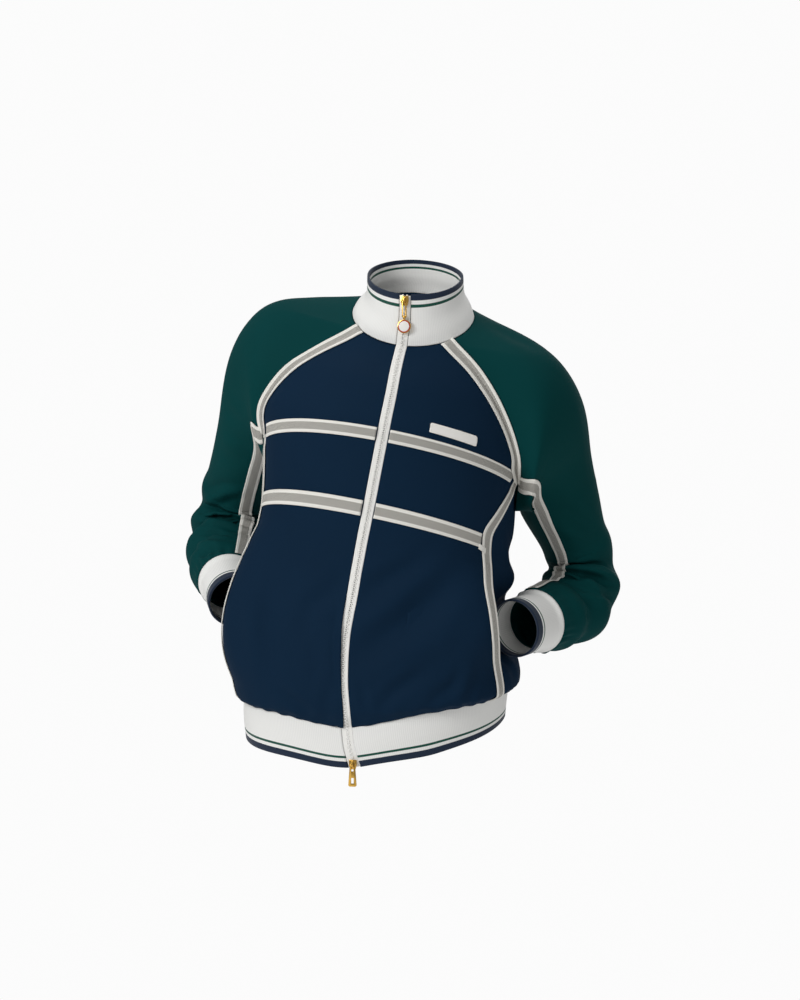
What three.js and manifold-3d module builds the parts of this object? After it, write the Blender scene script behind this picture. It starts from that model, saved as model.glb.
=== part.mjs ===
// A zip-front track jacket with raglan sleeves, filled out as worn with the hands in its pockets.
// Millimetres, +Z up. The front faces -Y and +X is the wearer's left. The origin is the centre of
// the neck seam, where the wearer's shoulders carry the jacket.
import * as THREE from "three";
import { mergeVertices } from "three/addons/utils/BufferGeometryUtils.js";
import Module from "manifold-3d";

const wasm = await Module();
wasm.setup();
const { Manifold, Mesh } = wasm;

// Cloth and trim sizes
const clothWall = 2;
const ribWall = 3;
const bagWall = 1.2;
const tapeWall = 1.2;
const tapeWidth = 18;
const tapeLift = 0.85;
const seamGap = 0.4;
const zipTapeWall = 1.2;
const zipChainHalf = 3;
const zipTapeHalf = 7.2;
const chainThick = 3;

// Levels: -1 is the hem's lower edge, 0 the hem seam, 1 the neck seam and 2 the collar's top edge.
// Each row is one section: its centre, half width, front and back depths, then degrees of roll
// (wearer's right side up), tilt (front down, with its own value behind) and turn (front to +X).
const hemLevels = [
  {
    level: -1, x: -52.4, y: 0, z: -517.9, half: 169.1, front: 111.7, back: 104,
    roll: -6.5, tilt: 14.4, behind: 8, turn: -0.7, square: 0.03, dip: 17.5,
  },
  {
    level: -0.5, x: -53, y: 0, z: -499.8, half: 172.4, front: 113.2, back: 105,
    roll: -5, tilt: 10.9, behind: 8, turn: -3.7, square: 0.03, dip: 16.3,
  },
  {
    level: 0, x: -52.3, y: 0, z: -482.2, half: 175.1, front: 109, back: 103,
    roll: -3.3, tilt: 7.4, behind: 8, turn: -6.4, square: 0.03, dip: 15.8,
  },
];
const bodyLevels = [
  {
    level: 0, x: -52.3, y: 0, z: -482.2, half: 175.1, front: 109, back: 103,
    roll: -3.3, tilt: 7.4, behind: 8, turn: -6.4, square: 0.03, dip: 15.8,
  },
  {
    level: 0.04, x: -49.1, y: 0, z: -475.1, half: 186.7, front: 119.8, back: 111,
    roll: -4, tilt: 6.8, behind: 6, turn: -7.3, square: 0.04, dip: 2.5,
  },
  {
    level: 0.12, x: -54.6, y: 0, z: -432.4, half: 186.2, front: 121.1, back: 113,
    roll: -3.7, tilt: 9.5, behind: 3, turn: -5.8, square: 0.05, dip: 0,
  },
  {
    level: 0.227, x: -52.9, y: 0, z: -396.2, half: 181, front: 119.3, back: 108,
    roll: -0.9, tilt: 3.1, behind: 1, turn: -5.7, square: 0.05, dip: 0,
  },
  {
    level: 0.357, x: -47, y: 0, z: -348.8, half: 171.6, front: 116.7, back: 103,
    roll: 3.8, tilt: -4.4, behind: 0, turn: -3.5, square: 0.04, dip: 0,
  },
  {
    level: 0.474, x: -41, y: 0, z: -310.9, half: 165.7, front: 116.4, back: 101,
    roll: 8.3, tilt: -13.8, behind: -2, turn: -1.4, square: 0.03, dip: 0,
  },
  {
    level: 0.561, x: -36.4, y: 0, z: -275.8, half: 159.8, front: 119.7, back: 104,
    roll: 10.6, tilt: -18.4, behind: -4, turn: 1.2, square: 0.03, dip: 0,
  },
  {
    level: 0.747, x: -30.4, y: 0, z: -186.1, half: 162, front: 124.3, back: 108,
    roll: 8, tilt: -19.7, behind: -6, turn: 7.2, square: 0.02, dip: 0,
  },
  {
    level: 0.83, x: -25.7, y: 0, z: -149.9, half: 166.5, front: 116.9, back: 103,
    roll: 10.2, tilt: -16.9, behind: -2, turn: 7.2, square: 0.01, dip: 0,
  },
  {
    level: 0.9, x: -16.5, y: 0, z: -77.4, half: 139.9, front: 99.1, back: 90,
    roll: 9.4, tilt: 0.7, behind: 6, turn: 5.7, square: 0, dip: 0,
  },
  {
    level: 1, x: -2.2, y: 0, z: 1.2, half: 77.9, front: 63.8, back: 62,
    roll: 5.5, tilt: 33.1, behind: 22, turn: -1.6, square: 0, dip: 0,
  },
];
const collarLevels = [
  {
    level: 1, x: -2.2, y: 0, z: 1.2, half: 77.9, front: 63.8, back: 62,
    roll: 5.5, tilt: 33.1, behind: 22, turn: -1.6, square: 0, dip: 0,
  },
  {
    level: 1.3, x: -2, y: 1, z: 12, half: 73, front: 67, back: 60,
    roll: 4.5, tilt: 30, behind: 22, turn: 0, square: 0, dip: 0,
  },
  {
    level: 1.55, x: 0, y: 2, z: 27, half: 63, front: 66, back: 56,
    roll: 4.5, tilt: 27, behind: 21, turn: 0, square: 0, dip: 0,
  },
  {
    level: 2, x: 0, y: 3, z: 50.5, half: 61, front: 64, back: 55,
    roll: 5, tilt: 21, behind: 20, turn: 0, square: 0, dip: 0,
  },
];

// The raglan seam from the neck round under the arm to the neck again: its level, and degrees
// from the centre front on each side. The side seam and the upper tape meet it at the crossing.
const raglanLine = [
  { level: 1, right: 49, left: 43.6 },
  { level: 0.95, right: 57, left: 50.7 },
  { level: 0.9, right: 62, left: 55.5 },
  { level: 0.85, right: 71, left: 64 },
  { level: 0.79, right: 79.5, left: 71 },
  { level: 0.747, right: 81, left: 82.5 },
  { level: 0.7, right: 88, left: 89 },
  { level: 0.675, right: 96, left: 96 },
  { level: 0.7, right: 104, left: 104 },
  { level: 0.8, right: 118, left: 118 },
  { level: 0.9, right: 133, left: 133 },
  { level: 1, right: 150, left: 150 },
];
const crossingRow = 5;
const crossingLevel = raglanLine[crossingRow].level;
const frontRaglanSteps = 10;
const underarmSteps = 5;
const backRaglanSteps = 9;
const neckSteps = 6;

// The side seam, from the hem up to the crossing, as degrees from the centre front on each side
const sideSeam = [
  { level: 0, right: 76, left: 73 },
  { level: 0.12, right: 76, left: 70 },
  { level: 0.21, right: 76, left: 70 },
  { level: 0.31, right: 76, left: 68 },
  { level: 0.42, right: 76, left: 64 },
  { level: 0.5, right: 76, left: 62.5 },
  { level: 0.55, right: 76, left: 61 },
  { level: 0.59, right: 76, left: 61 },
  { level: 0.64, right: 77, left: 67 },
  { level: 0.7, right: 79, left: 75.5 },
  { level: 0.747, right: 81, left: 82.5 },
];

// The pockets are mouths in the side seams, held open as by a hand: the front stands away along
// push, and the back's edge is pressed in along its own surface's normal by dent
const pocket = { low: 0.08, high: 0.5, bag: 24, inset: 1.6 };
const pockets = {
  right: { push: [-14, -26, 0], dent: 22 },
  left: { push: [8, -30, 0], dent: 22 },
};

// Each sleeve: the wide ring round the shoulder, then the arm as two straight runs with a bend
const sleeves = {
  right: {
    shoulder: { centre: [-211, 20.2, -86.2], rise: 92.1, drop: 98, fore: 62, aft: 62, lean: -8.4 },
    upper: [-237.3, 90.2, -175.1],
    elbow: [-295.3, 184.8, -291.6],
    cuffSeam: [-251.2, 18.9, -348.8],
    cuffEnd: [-229.7, -24.7, -367.4],
    bend: 58,
    radii: [
      { at: 0, out: 52.1, deep: 52 },
      { at: 0.3, out: 51.3, deep: 48 },
      { at: 0.55, out: 56.3, deep: 50 },
      { at: 0.8, out: 52.1, deep: 46 },
      { at: 1, out: 43, deep: 41 },
    ],
  },
  left: {
    shoulder: { centre: [173.8, 23.4, -163.7], rise: 92.7, drop: 86, fore: 62, aft: 62, lean: 23.5 },
    upper: [170.2, 92.2, -235.1],
    elbow: [214.4, 154, -371.2],
    cuffSeam: [156.4, 3.1, -387.7],
    cuffEnd: [135.4, -43.3, -391.7],
    bend: 58,
    radii: [
      { at: 0, out: 54.1, deep: 52.2 },
      { at: 0.3, out: 42.7, deep: 46.1 },
      { at: 0.55, out: 50.6, deep: 48.7 },
      { at: 0.8, out: 46.7, deep: 42 },
      { at: 1, out: 41.7, deep: 42 },
    ],
  },
};
const cuffRadius = 37;
const sleeveSteps = { cap: 6, round: 5, arm: 16 };

const degree = Math.PI / 180;
const vector = (x, y, z) => new THREE.Vector3(x, y, z);
const mix = (a, b, t) => a + (b - a) * t;
const ease = (t) => t * t * (3 - 2 * t);
const clamp01 = (t) => Math.min(1, Math.max(0, t));
const steps = (count) => Array.from({ length: count + 1 }, (_, i) => i / count);

// A smooth curve through one column of a table, by another column
function column(table, name, by, value) {
  const last = table.length - 1;
  let i = 0;
  while (i < last - 1 && value > table[i + 1][by]) i++;
  const [a, b] = [table[i], table[i + 1]];
  const span = b[by] - a[by];
  const slope = (k) => {
    const [p, n] = [table[Math.max(0, k - 1)], table[Math.min(last, k + 1)]];
    return (n[name] - p[name]) / (n[by] - p[by]);
  };
  const t = clamp01((value - a[by]) / span);
  const [t2, t3] = [t * t, t * t * t];
  return (
    (2 * t3 - 3 * t2 + 1) * a[name] +
    (t3 - 2 * t2 + t) * span * slope(i) +
    (3 * t2 - 2 * t3) * b[name] +
    (t3 - t2) * span * slope(i + 1)
  );
}

const sectionNames = [
  "x", "y", "z", "half", "front", "back", "roll", "tilt", "behind", "turn", "square", "dip",
];

function sectionAt(level) {
  const table = level < 0 ? hemLevels : level > 1 ? collarLevels : bodyLevels;
  return Object.fromEntries(sectionNames.map((name) => [name, column(table, name, "level", level)]));
}

// A point of the smooth body, angle in radians from the centre front towards the wearer's left
const tiltBlend = 22;
const dipWidth = 0.42;
const angleFromFront = (angle) => Math.atan2(Math.sin(angle), Math.cos(angle));
// The hem's lower edge hangs further down at the wearer's left: by how much in mm, and between which
// angles from the centre front, in radians, it sets in and fades
const hemSag = { drop: 13, from: 0.08, full: 0.63, fades: 1.94, to: 3.14 };
function sagAt(angle, level) {
  const away = angleFromFront(angle);
  const setIn = ease(clamp01((away - hemSag.from) / (hemSag.full - hemSag.from)));
  const left = ease(clamp01((hemSag.to - away) / (hemSag.to - hemSag.fades)));
  return hemSag.drop * Math.max(0, -level) * setIn * left;
}

function bodyPoint(angle, level) {
  const s = sectionAt(level);
  const swell = 1 + s.square * Math.sin(2 * angle) ** 2;
  const across = s.half * Math.sin(angle) * swell;
  const depth = -(Math.cos(angle) > 0 ? s.front : s.back) * Math.cos(angle) * swell;
  const turn = s.turn * degree;
  const x = across * Math.cos(turn) - depth * Math.sin(turn);
  const y = across * Math.sin(turn) + depth * Math.cos(turn);
  const [before, behind] = [Math.tan(s.tilt * degree), Math.tan(s.behind * degree)];
  const bend = Math.hypot(y, tiltBlend) - tiltBlend;
  const dip = s.dip * Math.exp(-((angleFromFront(angle) / dipWidth) ** 2));
  const tilted = (y * (before + behind) + bend * (behind - before)) / 2;
  const z = -x * Math.tan(s.roll * degree) + tilted - dip - sagAt(angle, level);
  return vector(s.x + x, s.y + y, s.z + z);
}

function bodyNormal(angle, level) {
  const step = 0.01;
  const [low, high] = level > 1 ? [1, 2] : level < 0 ? [-1, 0] : [0, 1];
  const [below, above] = [Math.max(low, level - step), Math.min(high, level + step)];
  const round = bodyPoint(angle + step, level).sub(bodyPoint(angle - step, level));
  const up = bodyPoint(angle, above).sub(bodyPoint(angle, below));
  return round.cross(up).normalize();
}

// The angle at which the body is that far across from the centre front
function angleAcross(distance, level) {
  return Math.asin(distance / sectionAt(level).half);
}

// How open a pocket's mouth is at a level, from 0 at its ends to 1
function mouth(level) {
  const t = clamp01((level - pocket.low) / (pocket.high - pocket.low));
  return Math.sin(Math.PI * t);
}

function sideAngle(side, level) {
  return column(sideSeam, side, "level", level) * degree;
}

const signOf = { right: -1, left: 1 };

// The front's surface: the body, pushed away over the pocket towards its mouth
function frontPoint(side, angle, level, inward = 0) {
  const point = bodyPoint(signOf[side] * angle, level);
  const share = clamp01((angle / degree - pocket.bag) / (sideAngle(side, level) / degree - pocket.bag));
  const push = vector(...pockets[side].push).multiplyScalar(ease(share) * mouth(level));
  return point.add(push).addScaledVector(bodyNormal(signOf[side] * angle, level), -inward);
}

// How far a point of the body is pressed in by the forearm, cuff and hand beside it: each row is a
// stretch of the arm with its radius and the room it keeps
const armStretches = [
  { from: "elbow", to: "cuffSeam", radius: 50, endRadius: 42, beyond: 0 },
  { from: "cuffSeam", to: "cuffEnd", radius: 42, endRadius: 38, beyond: 45 },
];
const armRoom = 7;
function armPress(side, point) {
  let press = 0;
  for (const { from, to, radius, endRadius, beyond } of armStretches) {
    const [start, end] = [vector(...sleeves[side][from]), vector(...sleeves[side][to])];
    const along = end.clone().sub(start);
    const length = along.length();
    along.normalize();
    const t = Math.min(length + beyond, Math.max(0, point.clone().sub(start).dot(along)));
    const away = point.distanceTo(start.addScaledVector(along, t));
    const depth = mix(radius, endRadius, Math.min(1, t / length)) + armRoom - away;
    press = Math.max(press, 6 * Math.log(1 + Math.exp((depth * 1.15) / 6)));
  }
  return press < 0.2 ? 0 : press;
}

// The back's surface: the body, pressed in beside each pocket's mouth and along the forearms
const dentReach = 46;
function dentAt(side, angle, level) {
  const away = Math.abs(angle - sideAngle(side, level)) / degree;
  return pockets[side].dent * mouth(level) * (1 - ease(clamp01(away / dentReach)));
}
function backPoint(angle, level, inward = 0) {
  const point = bodyPoint(angle, level);
  const side = angle < Math.PI ? "left" : "right";
  const round = side === "left" ? angle : 2 * Math.PI - angle;
  const seamFade = ease(clamp01(level / 0.06));
  const dent = Math.max(dentAt(side, round, level), armPress(side, point) * seamFade);
  return point.addScaledVector(bodyNormal(angle, level), -dent - inward);
}

// One closed wall from a grid of outer points and the inner point behind each. The grid closes on
// itself along its columns where round is true.
function wall(outer, inner, round = false) {
  const [rows, cols] = [outer.length, outer[0].length];
  const positions = [];
  const quad = (a, b, c, d) => {
    for (const p of [a, b, c, a, c, d]) positions.push(p.x, p.y, p.z);
  };
  const lastCol = round ? cols : cols - 1;
  for (let i = 0; i < rows - 1; i++) {
    for (let j = 0; j < lastCol; j++) {
      const k = (j + 1) % cols;
      quad(outer[i][j], outer[i][k], outer[i + 1][k], outer[i + 1][j]);
      quad(inner[i][j], inner[i + 1][j], inner[i + 1][k], inner[i][k]);
    }
  }
  for (let j = 0; j < lastCol; j++) {
    const k = (j + 1) % cols;
    quad(outer[0][j], inner[0][j], inner[0][k], outer[0][k]);
    quad(outer[rows - 1][j], outer[rows - 1][k], inner[rows - 1][k], inner[rows - 1][j]);
  }
  if (!round) {
    for (let i = 0; i < rows - 1; i++) {
      quad(outer[i][0], outer[i + 1][0], inner[i + 1][0], inner[i][0]);
      quad(outer[i][cols - 1], inner[i][cols - 1], inner[i + 1][cols - 1], outer[i + 1][cols - 1]);
    }
  }
  return facingOut(positions);
}

// Turns the faces round if the mesh encloses a negative volume
function facingOut(positions) {
  let volume = 0;
  const [a, b, c] = [vector(0, 0, 0), vector(0, 0, 0), vector(0, 0, 0)];
  for (let i = 0; i < positions.length; i += 9) {
    a.fromArray(positions, i);
    b.fromArray(positions, i + 3);
    c.fromArray(positions, i + 6);
    volume += a.dot(b.cross(c));
  }
  if (volume < 0) {
    for (let i = 0; i < positions.length; i += 9) {
      for (let k = 0; k < 3; k++) {
        [positions[i + 3 + k], positions[i + 6 + k]] = [positions[i + 6 + k], positions[i + 3 + k]];
      }
    }
  }
  const geometry = new THREE.BufferGeometry();
  geometry.setAttribute("position", new THREE.Float32BufferAttribute(positions, 3));
  return geometry;
}

const colours = {
  navy: 0x14263f,
  green: 0x0e3b38,
  rib: 0xf0f0ee,
  tape: 0xe6e4dc,
  zip: 0xf2f2ef,
  gold: 0xd9b25c,
  enamel: 0xf5f3ee,
  lining: 0x14263f,
};
const finishes = Object.fromEntries(
  Object.entries(colours).map(([name, color]) => {
    const metal = name === "gold";
    const roughness = metal ? 0.25 : name === "enamel" ? 0.2 : 0.85;
    return [name, new THREE.MeshStandardMaterial({ color, roughness, metalness: metal ? 1 : 0 })];
  }),
);

const jacket = new THREE.Group();
function addPiece(name, geometry, finish, parent = jacket) {
  const mesh = new THREE.Mesh(geometry, finishes[finish]);
  mesh.name = name;
  parent.add(mesh);
  return mesh;
}

// Samples of the raglan seam, shared by the front, the back, the sleeve and the tape over it
const raglanRows = raglanLine.map((row, index) => ({ ...row, index }));
function raglanSamples(side, from, to, count) {
  return steps(count).map((t) => {
    const index = mix(from, to, t);
    return {
      angle: column(raglanRows, side, "index", index) * degree,
      level: column(raglanRows, "level", "index", index),
    };
  });
}
const raglanOf = (side) => ({
  front: raglanSamples(side, 0, crossingRow, frontRaglanSteps),
  under: raglanSamples(side, crossingRow, crossingRow + 3, underarmSteps),
  back: raglanSamples(side, crossingRow + 3, raglanLine.length - 1, backRaglanSteps),
});
const raglan = { right: raglanOf("right"), left: raglanOf("left") };

// A point moved a little from its place towards another, which opens a seam
const towards = (point, other, distance) =>
  point.clone().addScaledVector(other.clone().sub(point).normalize(), distance);

const panelRows = [
  0, 0.012, 0.03, 0.05, 0.09, 0.14, 0.19, 0.24, 0.29, 0.34, 0.39, 0.44, 0.5, 0.56, 0.62, 0.69,
];
function front(side) {
  const rows = [
    ...panelRows.map((level) => ({ level, angle: sideAngle(side, level) })),
    ...raglan[side].front.slice().reverse(),
  ];
  const cols = 9;
  const grid = (inward) => {
    const points = rows.map(({ level, angle }) => {
      const start = angleAcross(zipTapeHalf, level);
      return steps(cols).map((t) => frontPoint(side, mix(start, angle, t), level, inward));
    });
    return shrink(points);
  };
  addPiece(`front_${side}`, wall(grid(0), grid(clothWall)), "navy");
}

// Draws the edge points of a grid in by the seam gap, on all four edges or on those named
function shrink(points, edges = ["first", "last", "start", "end"], lastGap = seamGap) {
  const lastRow = points.length - 1;
  const lastCol = points[0].length - 1;
  const moved = points.map((row) => row.map((p) => p.clone()));
  points[0].forEach((first, j) => {
    const end = points[lastRow][j];
    if (edges.includes("first")) moved[0][j] = towards(first, points[1][j], seamGap);
    if (edges.includes("last")) moved[lastRow][j] = towards(end, points[lastRow - 1][j], lastGap);
  });
  points.forEach((row, i) => {
    const end = row[lastCol];
    if (edges.includes("start")) moved[i][0].add(towards(row[0], row[1], seamGap)).sub(row[0]);
    if (edges.includes("end")) moved[i][lastCol].add(towards(end, row[lastCol - 1], seamGap)).sub(end);
  });
  return moved;
}

// The back's columns run from the left side seam round to the right one. Each follows its side
// seam below the crossing and ends at the raglan or neck seam above.
const neckBack = 150;
function backColumns() {
  const half = (side) => [...raglan[side].under.slice(0, -1), ...raglan[side].back];
  const inner = steps(6).slice(1, 6);
  const middle = inner.map((t) => ({ angle: mix(neckBack, 360 - neckBack, t) * degree, level: 1 }));
  const mirrored = ({ angle, level }) => ({ angle: 2 * Math.PI - angle, level });
  const right = half("right").reverse().map(mirrored);
  return [...half("left"), ...middle, ...right];
}
const seamShare = 0.42;
function backAngle(top, share, position) {
  const level = top.level * share;
  const lean = (side) => sideAngle(side, Math.min(level, crossingLevel)) - sideAngle(side, crossingLevel);
  const left = lean("left") * (1 - ease(clamp01(position / seamShare)));
  const right = lean("right") * ease(clamp01((position - 1 + seamShare) / seamShare));
  return top.angle + left - right;
}

function back() {
  const columns = backColumns();
  const shares = [...panelRows, crossingLevel].map((level) => level / crossingLevel);
  const grid = (inward) =>
    shrink(
      shares.map((share) =>
        columns.map((top, j) =>
          backPoint(backAngle(top, share, j / (columns.length - 1)), top.level * share, inward),
        ),
      ),
      undefined,
      3 * seamGap,
    );
  addPiece("back", wall(grid(0), grid(clothWall)), "navy");
}

// The bag behind each pocket: its free edge lies inside the front, and it opens at the side seam
const bagShares = steps(8);
function pocketBag(side) {
  const levels = steps(8).map((t) => mix(pocket.low - 0.02, pocket.high + 0.02, t));
  const behindFront = clothWall + pocket.inset;
  const grid = (inward) =>
    levels.map((level) =>
      bagShares.map((t) => {
        const seam = sideAngle(side, level) - 0.5 * degree;
        const angle = mix(pocket.bag * degree, seam, t);
        const atFront = frontPoint(side, angle, level, behindFront + inward);
        const around = side === "left" ? angle : 2 * Math.PI - angle;
        const atBack = backPoint(around, level, behindFront + inward);
        return atFront.lerp(atBack, ease(clamp01(t * 1.6)));
      }),
    );
  addPiece(`pocket_bag_${side}`, wall(grid(0), grid(bagWall)), "lining");
}

// Rib bands: a double layer, with its own columns round the body
function roundAngles(level) {
  const start = angleAcross(zipTapeHalf + seamGap, level) / degree;
  const half = (side) => {
    const corner = raglanLine[0][side];
    return [
      ...steps(6).map((t) => mix(start, corner, t)),
      ...steps(neckSteps).slice(1).map((t) => mix(corner, neckBack, t)),
      ...steps(3).slice(1).map((t) => mix(neckBack, 180, t)),
    ];
  };
  const right = half("right").slice(0, -1).reverse().map((angle) => 360 - angle);
  return [...half("left"), ...right].map((angle) => angle * degree);
}

function band(name, levels) {
  const grid = (inward) =>
    shrink(
      levels.map((level) =>
        roundAngles(level).map((angle) =>
          bodyPoint(angle, level).addScaledVector(bodyNormal(angle, level), -inward),
        ),
      ),
      ["first", "last"],
    );
  addPiece(name, wall(grid(0), grid(ribWall)), "rib");
}

// Sleeves

// The middle line of an arm: two straight runs joined by an arc, as a point and a direction
function armLine(sleeve) {
  const [start, elbow, end] = [sleeve.upper, sleeve.elbow, sleeve.cuffSeam].map((p) => vector(...p));
  const down = elbow.clone().sub(start).normalize();
  const on = end.clone().sub(elbow).normalize();
  const angle = down.angleTo(on);
  const cut = sleeve.bend * Math.tan(angle / 2);
  const first = start.distanceTo(elbow) - cut;
  const second = elbow.distanceTo(end) - cut;
  const arc = sleeve.bend * angle;
  const length = first + arc + second;
  const axis = down.clone().cross(on).normalize();
  const arcStart = start.clone().addScaledVector(down, first);
  const centre = arcStart.clone().addScaledVector(axis.clone().cross(down), sleeve.bend);
  const at = (share) => {
    const s = share * length;
    if (s <= first) {
      return { point: start.clone().addScaledVector(down, s), direction: down.clone(), turned: 0 };
    }
    const turned = Math.min(1, (s - first) / arc) * angle;
    const point = arcStart.clone().sub(centre).applyAxisAngle(axis, turned).add(centre);
    const direction = down.clone().applyAxisAngle(axis, turned);
    point.addScaledVector(direction, Math.max(0, s - first - arc));
    return { point, direction, turned };
  };
  return { at, axis, length, bendFrom: first / length, bendTo: (first + arc) / length };
}

// Points round an arm, phi in radians from the outer side towards the front
function armRing(side, sleeve, line, share, phis, inward) {
  const { point, turned } = line.at(share);
  const start = line.at(0).direction;
  const outward = vector(signOf[side], 0, 0);
  const out = outward.addScaledVector(start, -outward.dot(start)).normalize();
  const fore = out.clone().cross(start).multiplyScalar(signOf[side] * -1).normalize();
  if (fore.y > 0) fore.negate();
  out.applyAxisAngle(line.axis, turned);
  fore.applyAxisAngle(line.axis, turned);
  const outRadius = column(sleeve.radii, "out", "at", share);
  const deepRadius = column(sleeve.radii, "deep", "at", share);
  return phis.map((phi) => {
    const fold = sleeveFold(share, phi);
    return point
      .clone()
      .addScaledVector(out, Math.cos(phi) * (outRadius + fold - inward))
      .addScaledVector(fore, Math.sin(phi) * (deepRadius + fold - inward));
  });
}

// Folds round the elbow: rows of share along the arm, height, width and the side they are deepest on
const elbowFolds = [
  { at: 0.3, height: 4, width: 0.05, phi: 60 },
  { at: 0.4, height: -6, width: 0.035, phi: 80 },
  { at: 0.48, height: 5, width: 0.04, phi: 40 },
  { at: 0.56, height: -5, width: 0.035, phi: 70 },
  { at: 0.66, height: 5, width: 0.045, phi: 20 },
  { at: 0.76, height: -4, width: 0.035, phi: 50 },
  { at: 0.86, height: 4, width: 0.05, phi: 0 },
];
function sleeveFold(share, phi) {
  return elbowFolds.reduce((sum, fold) => {
    const along = Math.exp(-(((share - fold.at) / fold.width) ** 2));
    const round = 0.5 + 0.5 * Math.cos(phi - fold.phi * degree);
    return sum + fold.height * along * round;
  }, 0);
}

// The raglan loop of one side, from the back of the neck over the shoulder, down the front and up
// the back, each with the angle phi at which it goes on round the arm
const loopPhis = { neck: -26, front: 26, crossing: 140, under: 216, back: 334 };
function raglanLoop(side) {
  const { front, under, back } = raglan[side];
  const neck = steps(neckSteps)
    .slice(1, -1)
    .reverse()
    .map((t) => ({ angle: mix(raglanLine[0][side], neckBack, t) * degree, level: 1 }));
  const points = [...neck, ...front, ...under.slice(1), ...back.slice(1)];
  const runs = [
    { count: neck.length + 1, from: loopPhis.neck, to: loopPhis.front },
    { count: frontRaglanSteps, from: loopPhis.front, to: loopPhis.crossing },
    { count: underarmSteps, from: loopPhis.crossing, to: loopPhis.under },
    { count: backRaglanSteps, from: loopPhis.under, to: loopPhis.back },
  ];
  const phisOf = ({ count, from, to }) => steps(count).slice(1).map((t) => mix(from, to, t) * degree);
  const phis = runs.flatMap(phisOf);
  return { points, phis };
}

// A curve from a to b that leaves and arrives along the two tangents
function hermite(a, leave, b, arrive, t) {
  const [t2, t3] = [t * t, t * t * t];
  return a
    .clone()
    .multiplyScalar(2 * t3 - 3 * t2 + 1)
    .addScaledVector(leave, t3 - 2 * t2 + t)
    .addScaledVector(b, 3 * t2 - 2 * t3)
    .addScaledVector(arrive, t3 - t2);
}

// A point of the wide ring round the shoulder
function shoulderPoint(shoulder, phi, inward) {
  const { centre, rise, drop, fore, aft, lean } = shoulder;
  const [up, ahead] = [Math.cos(phi), Math.sin(phi)];
  const height = up > 0 ? rise : drop;
  const depth = ahead > 0 ? fore : aft;
  return vector(
    centre[0] + lean * up,
    centre[1] - ahead * (depth - inward),
    centre[2] + up * (height - inward),
  );
}

// The sleeve's rings from the raglan seam to the cuff seam
function sleeveRows(side, inward) {
  const sleeve = sleeves[side];
  const sign = signOf[side];
  const { points, phis } = raglanLoop(side);
  const line = armLine(sleeve);
  const edge = points.map(({ angle, level }) => bodyPoint(sign * angle, level));
  const toRing = phis.map((phi, k) => shoulderPoint(sleeve.shoulder, phi, 0).sub(edge[k]).normalize());
  const seam = edge.map((p, k) => {
    const out = bodyNormal(sign * points[k].angle, points[k].level);
    const round = edge[(k + 1) % edge.length].clone().sub(edge[(k + edge.length - 1) % edge.length]);
    const own = round.cross(toRing[k]).multiplyScalar(sign).normalize();
    out.lerp(own, clamp01(toRing[k].dot(out) * 3)).normalize();
    return p.clone().addScaledVector(out, -inward);
  });
  const ring = phis.map((phi) => shoulderPoint(sleeve.shoulder, phi, inward));
  const arm = armRing(side, sleeve, line, 0, phis, inward);
  const direction = line.at(0).direction;
  const rows = [];
  for (const t of steps(sleeveSteps.cap).slice(0, -1)) {
    rows.push(phis.map((_, k) => {
      const chord = ring[k].clone().sub(seam[k]);
      const through = arm[k].clone().sub(seam[k]).normalize().multiplyScalar(chord.length());
      return hermite(seam[k], chord, ring[k], through, t);
    }));
  }
  for (const t of steps(sleeveSteps.round).slice(0, -1)) {
    rows.push(phis.map((_, k) => {
      const chord = arm[k].clone().sub(ring[k]).length();
      const through = arm[k].clone().sub(seam[k]).normalize().multiplyScalar(chord);
      return hermite(ring[k], through, arm[k], direction.clone().multiplyScalar(chord), t);
    }));
  }
  for (const t of steps(sleeveSteps.arm)) rows.push(armRing(side, sleeve, line, t, phis, inward));
  return shrink(rows, ["first", "last"]);
}

// The cuff: a rib tube from its seam to its folded edge
function cuffRows(side, inward) {
  const sleeve = sleeves[side];
  const { phis } = raglanLoop(side);
  const [from, to] = [vector(...sleeve.cuffSeam), vector(...sleeve.cuffEnd)];
  const along = to.clone().sub(from).normalize();
  const line = armLine(sleeve);
  const base = armRing(side, sleeve, line, 1, phis, 0);
  const centre = line.at(1).point;
  const rows = [0, 0.2, 0.6, 1].map((t) =>
    base.map((p) => {
      const radial = p.clone().sub(centre);
      radial.addScaledVector(along, -radial.dot(along) * t).normalize();
      return from.clone().lerp(to, t).addScaledVector(radial, cuffRadius + (t === 0 ? 4 : 0) - inward);
    }),
  );
  return shrink(rows, ["first", "last"]);
}

function sleevePieces(side) {
  addPiece(`sleeve_${side}`, wall(sleeveRows(side, 0), sleeveRows(side, clothWall), true), "green");
  addPiece(`cuff_${side}`, wall(cuffRows(side, 0), cuffRows(side, ribWall), true), "rib");
}

// Trims: strips made from the points of what they lie on, moved out along the surface

// A strip from a grid of points and normals, its inner face lift above the surface
function strip(name, spots, lift, thick, finish) {
  const face = (height) => spots.map((row) => row.map(({ p, n }) => p.clone().addScaledVector(n, height)));
  addPiece(name, wall(face(lift + thick), face(lift)), finish);
}

function frontNormal(side, angle, level) {
  const h = 0.01;
  const [below, above] = [Math.max(0, level - h), Math.min(1, level + h)];
  const round = frontPoint(side, angle + h, level).sub(frontPoint(side, angle - h, level));
  const up = frontPoint(side, angle, above).sub(frontPoint(side, angle, below));
  return round.cross(up).multiplyScalar(signOf[side]).normalize();
}
const frontSpot = (side, angle, level) => ({
  p: frontPoint(side, angle, level),
  n: frontNormal(side, angle, level),
});

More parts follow.
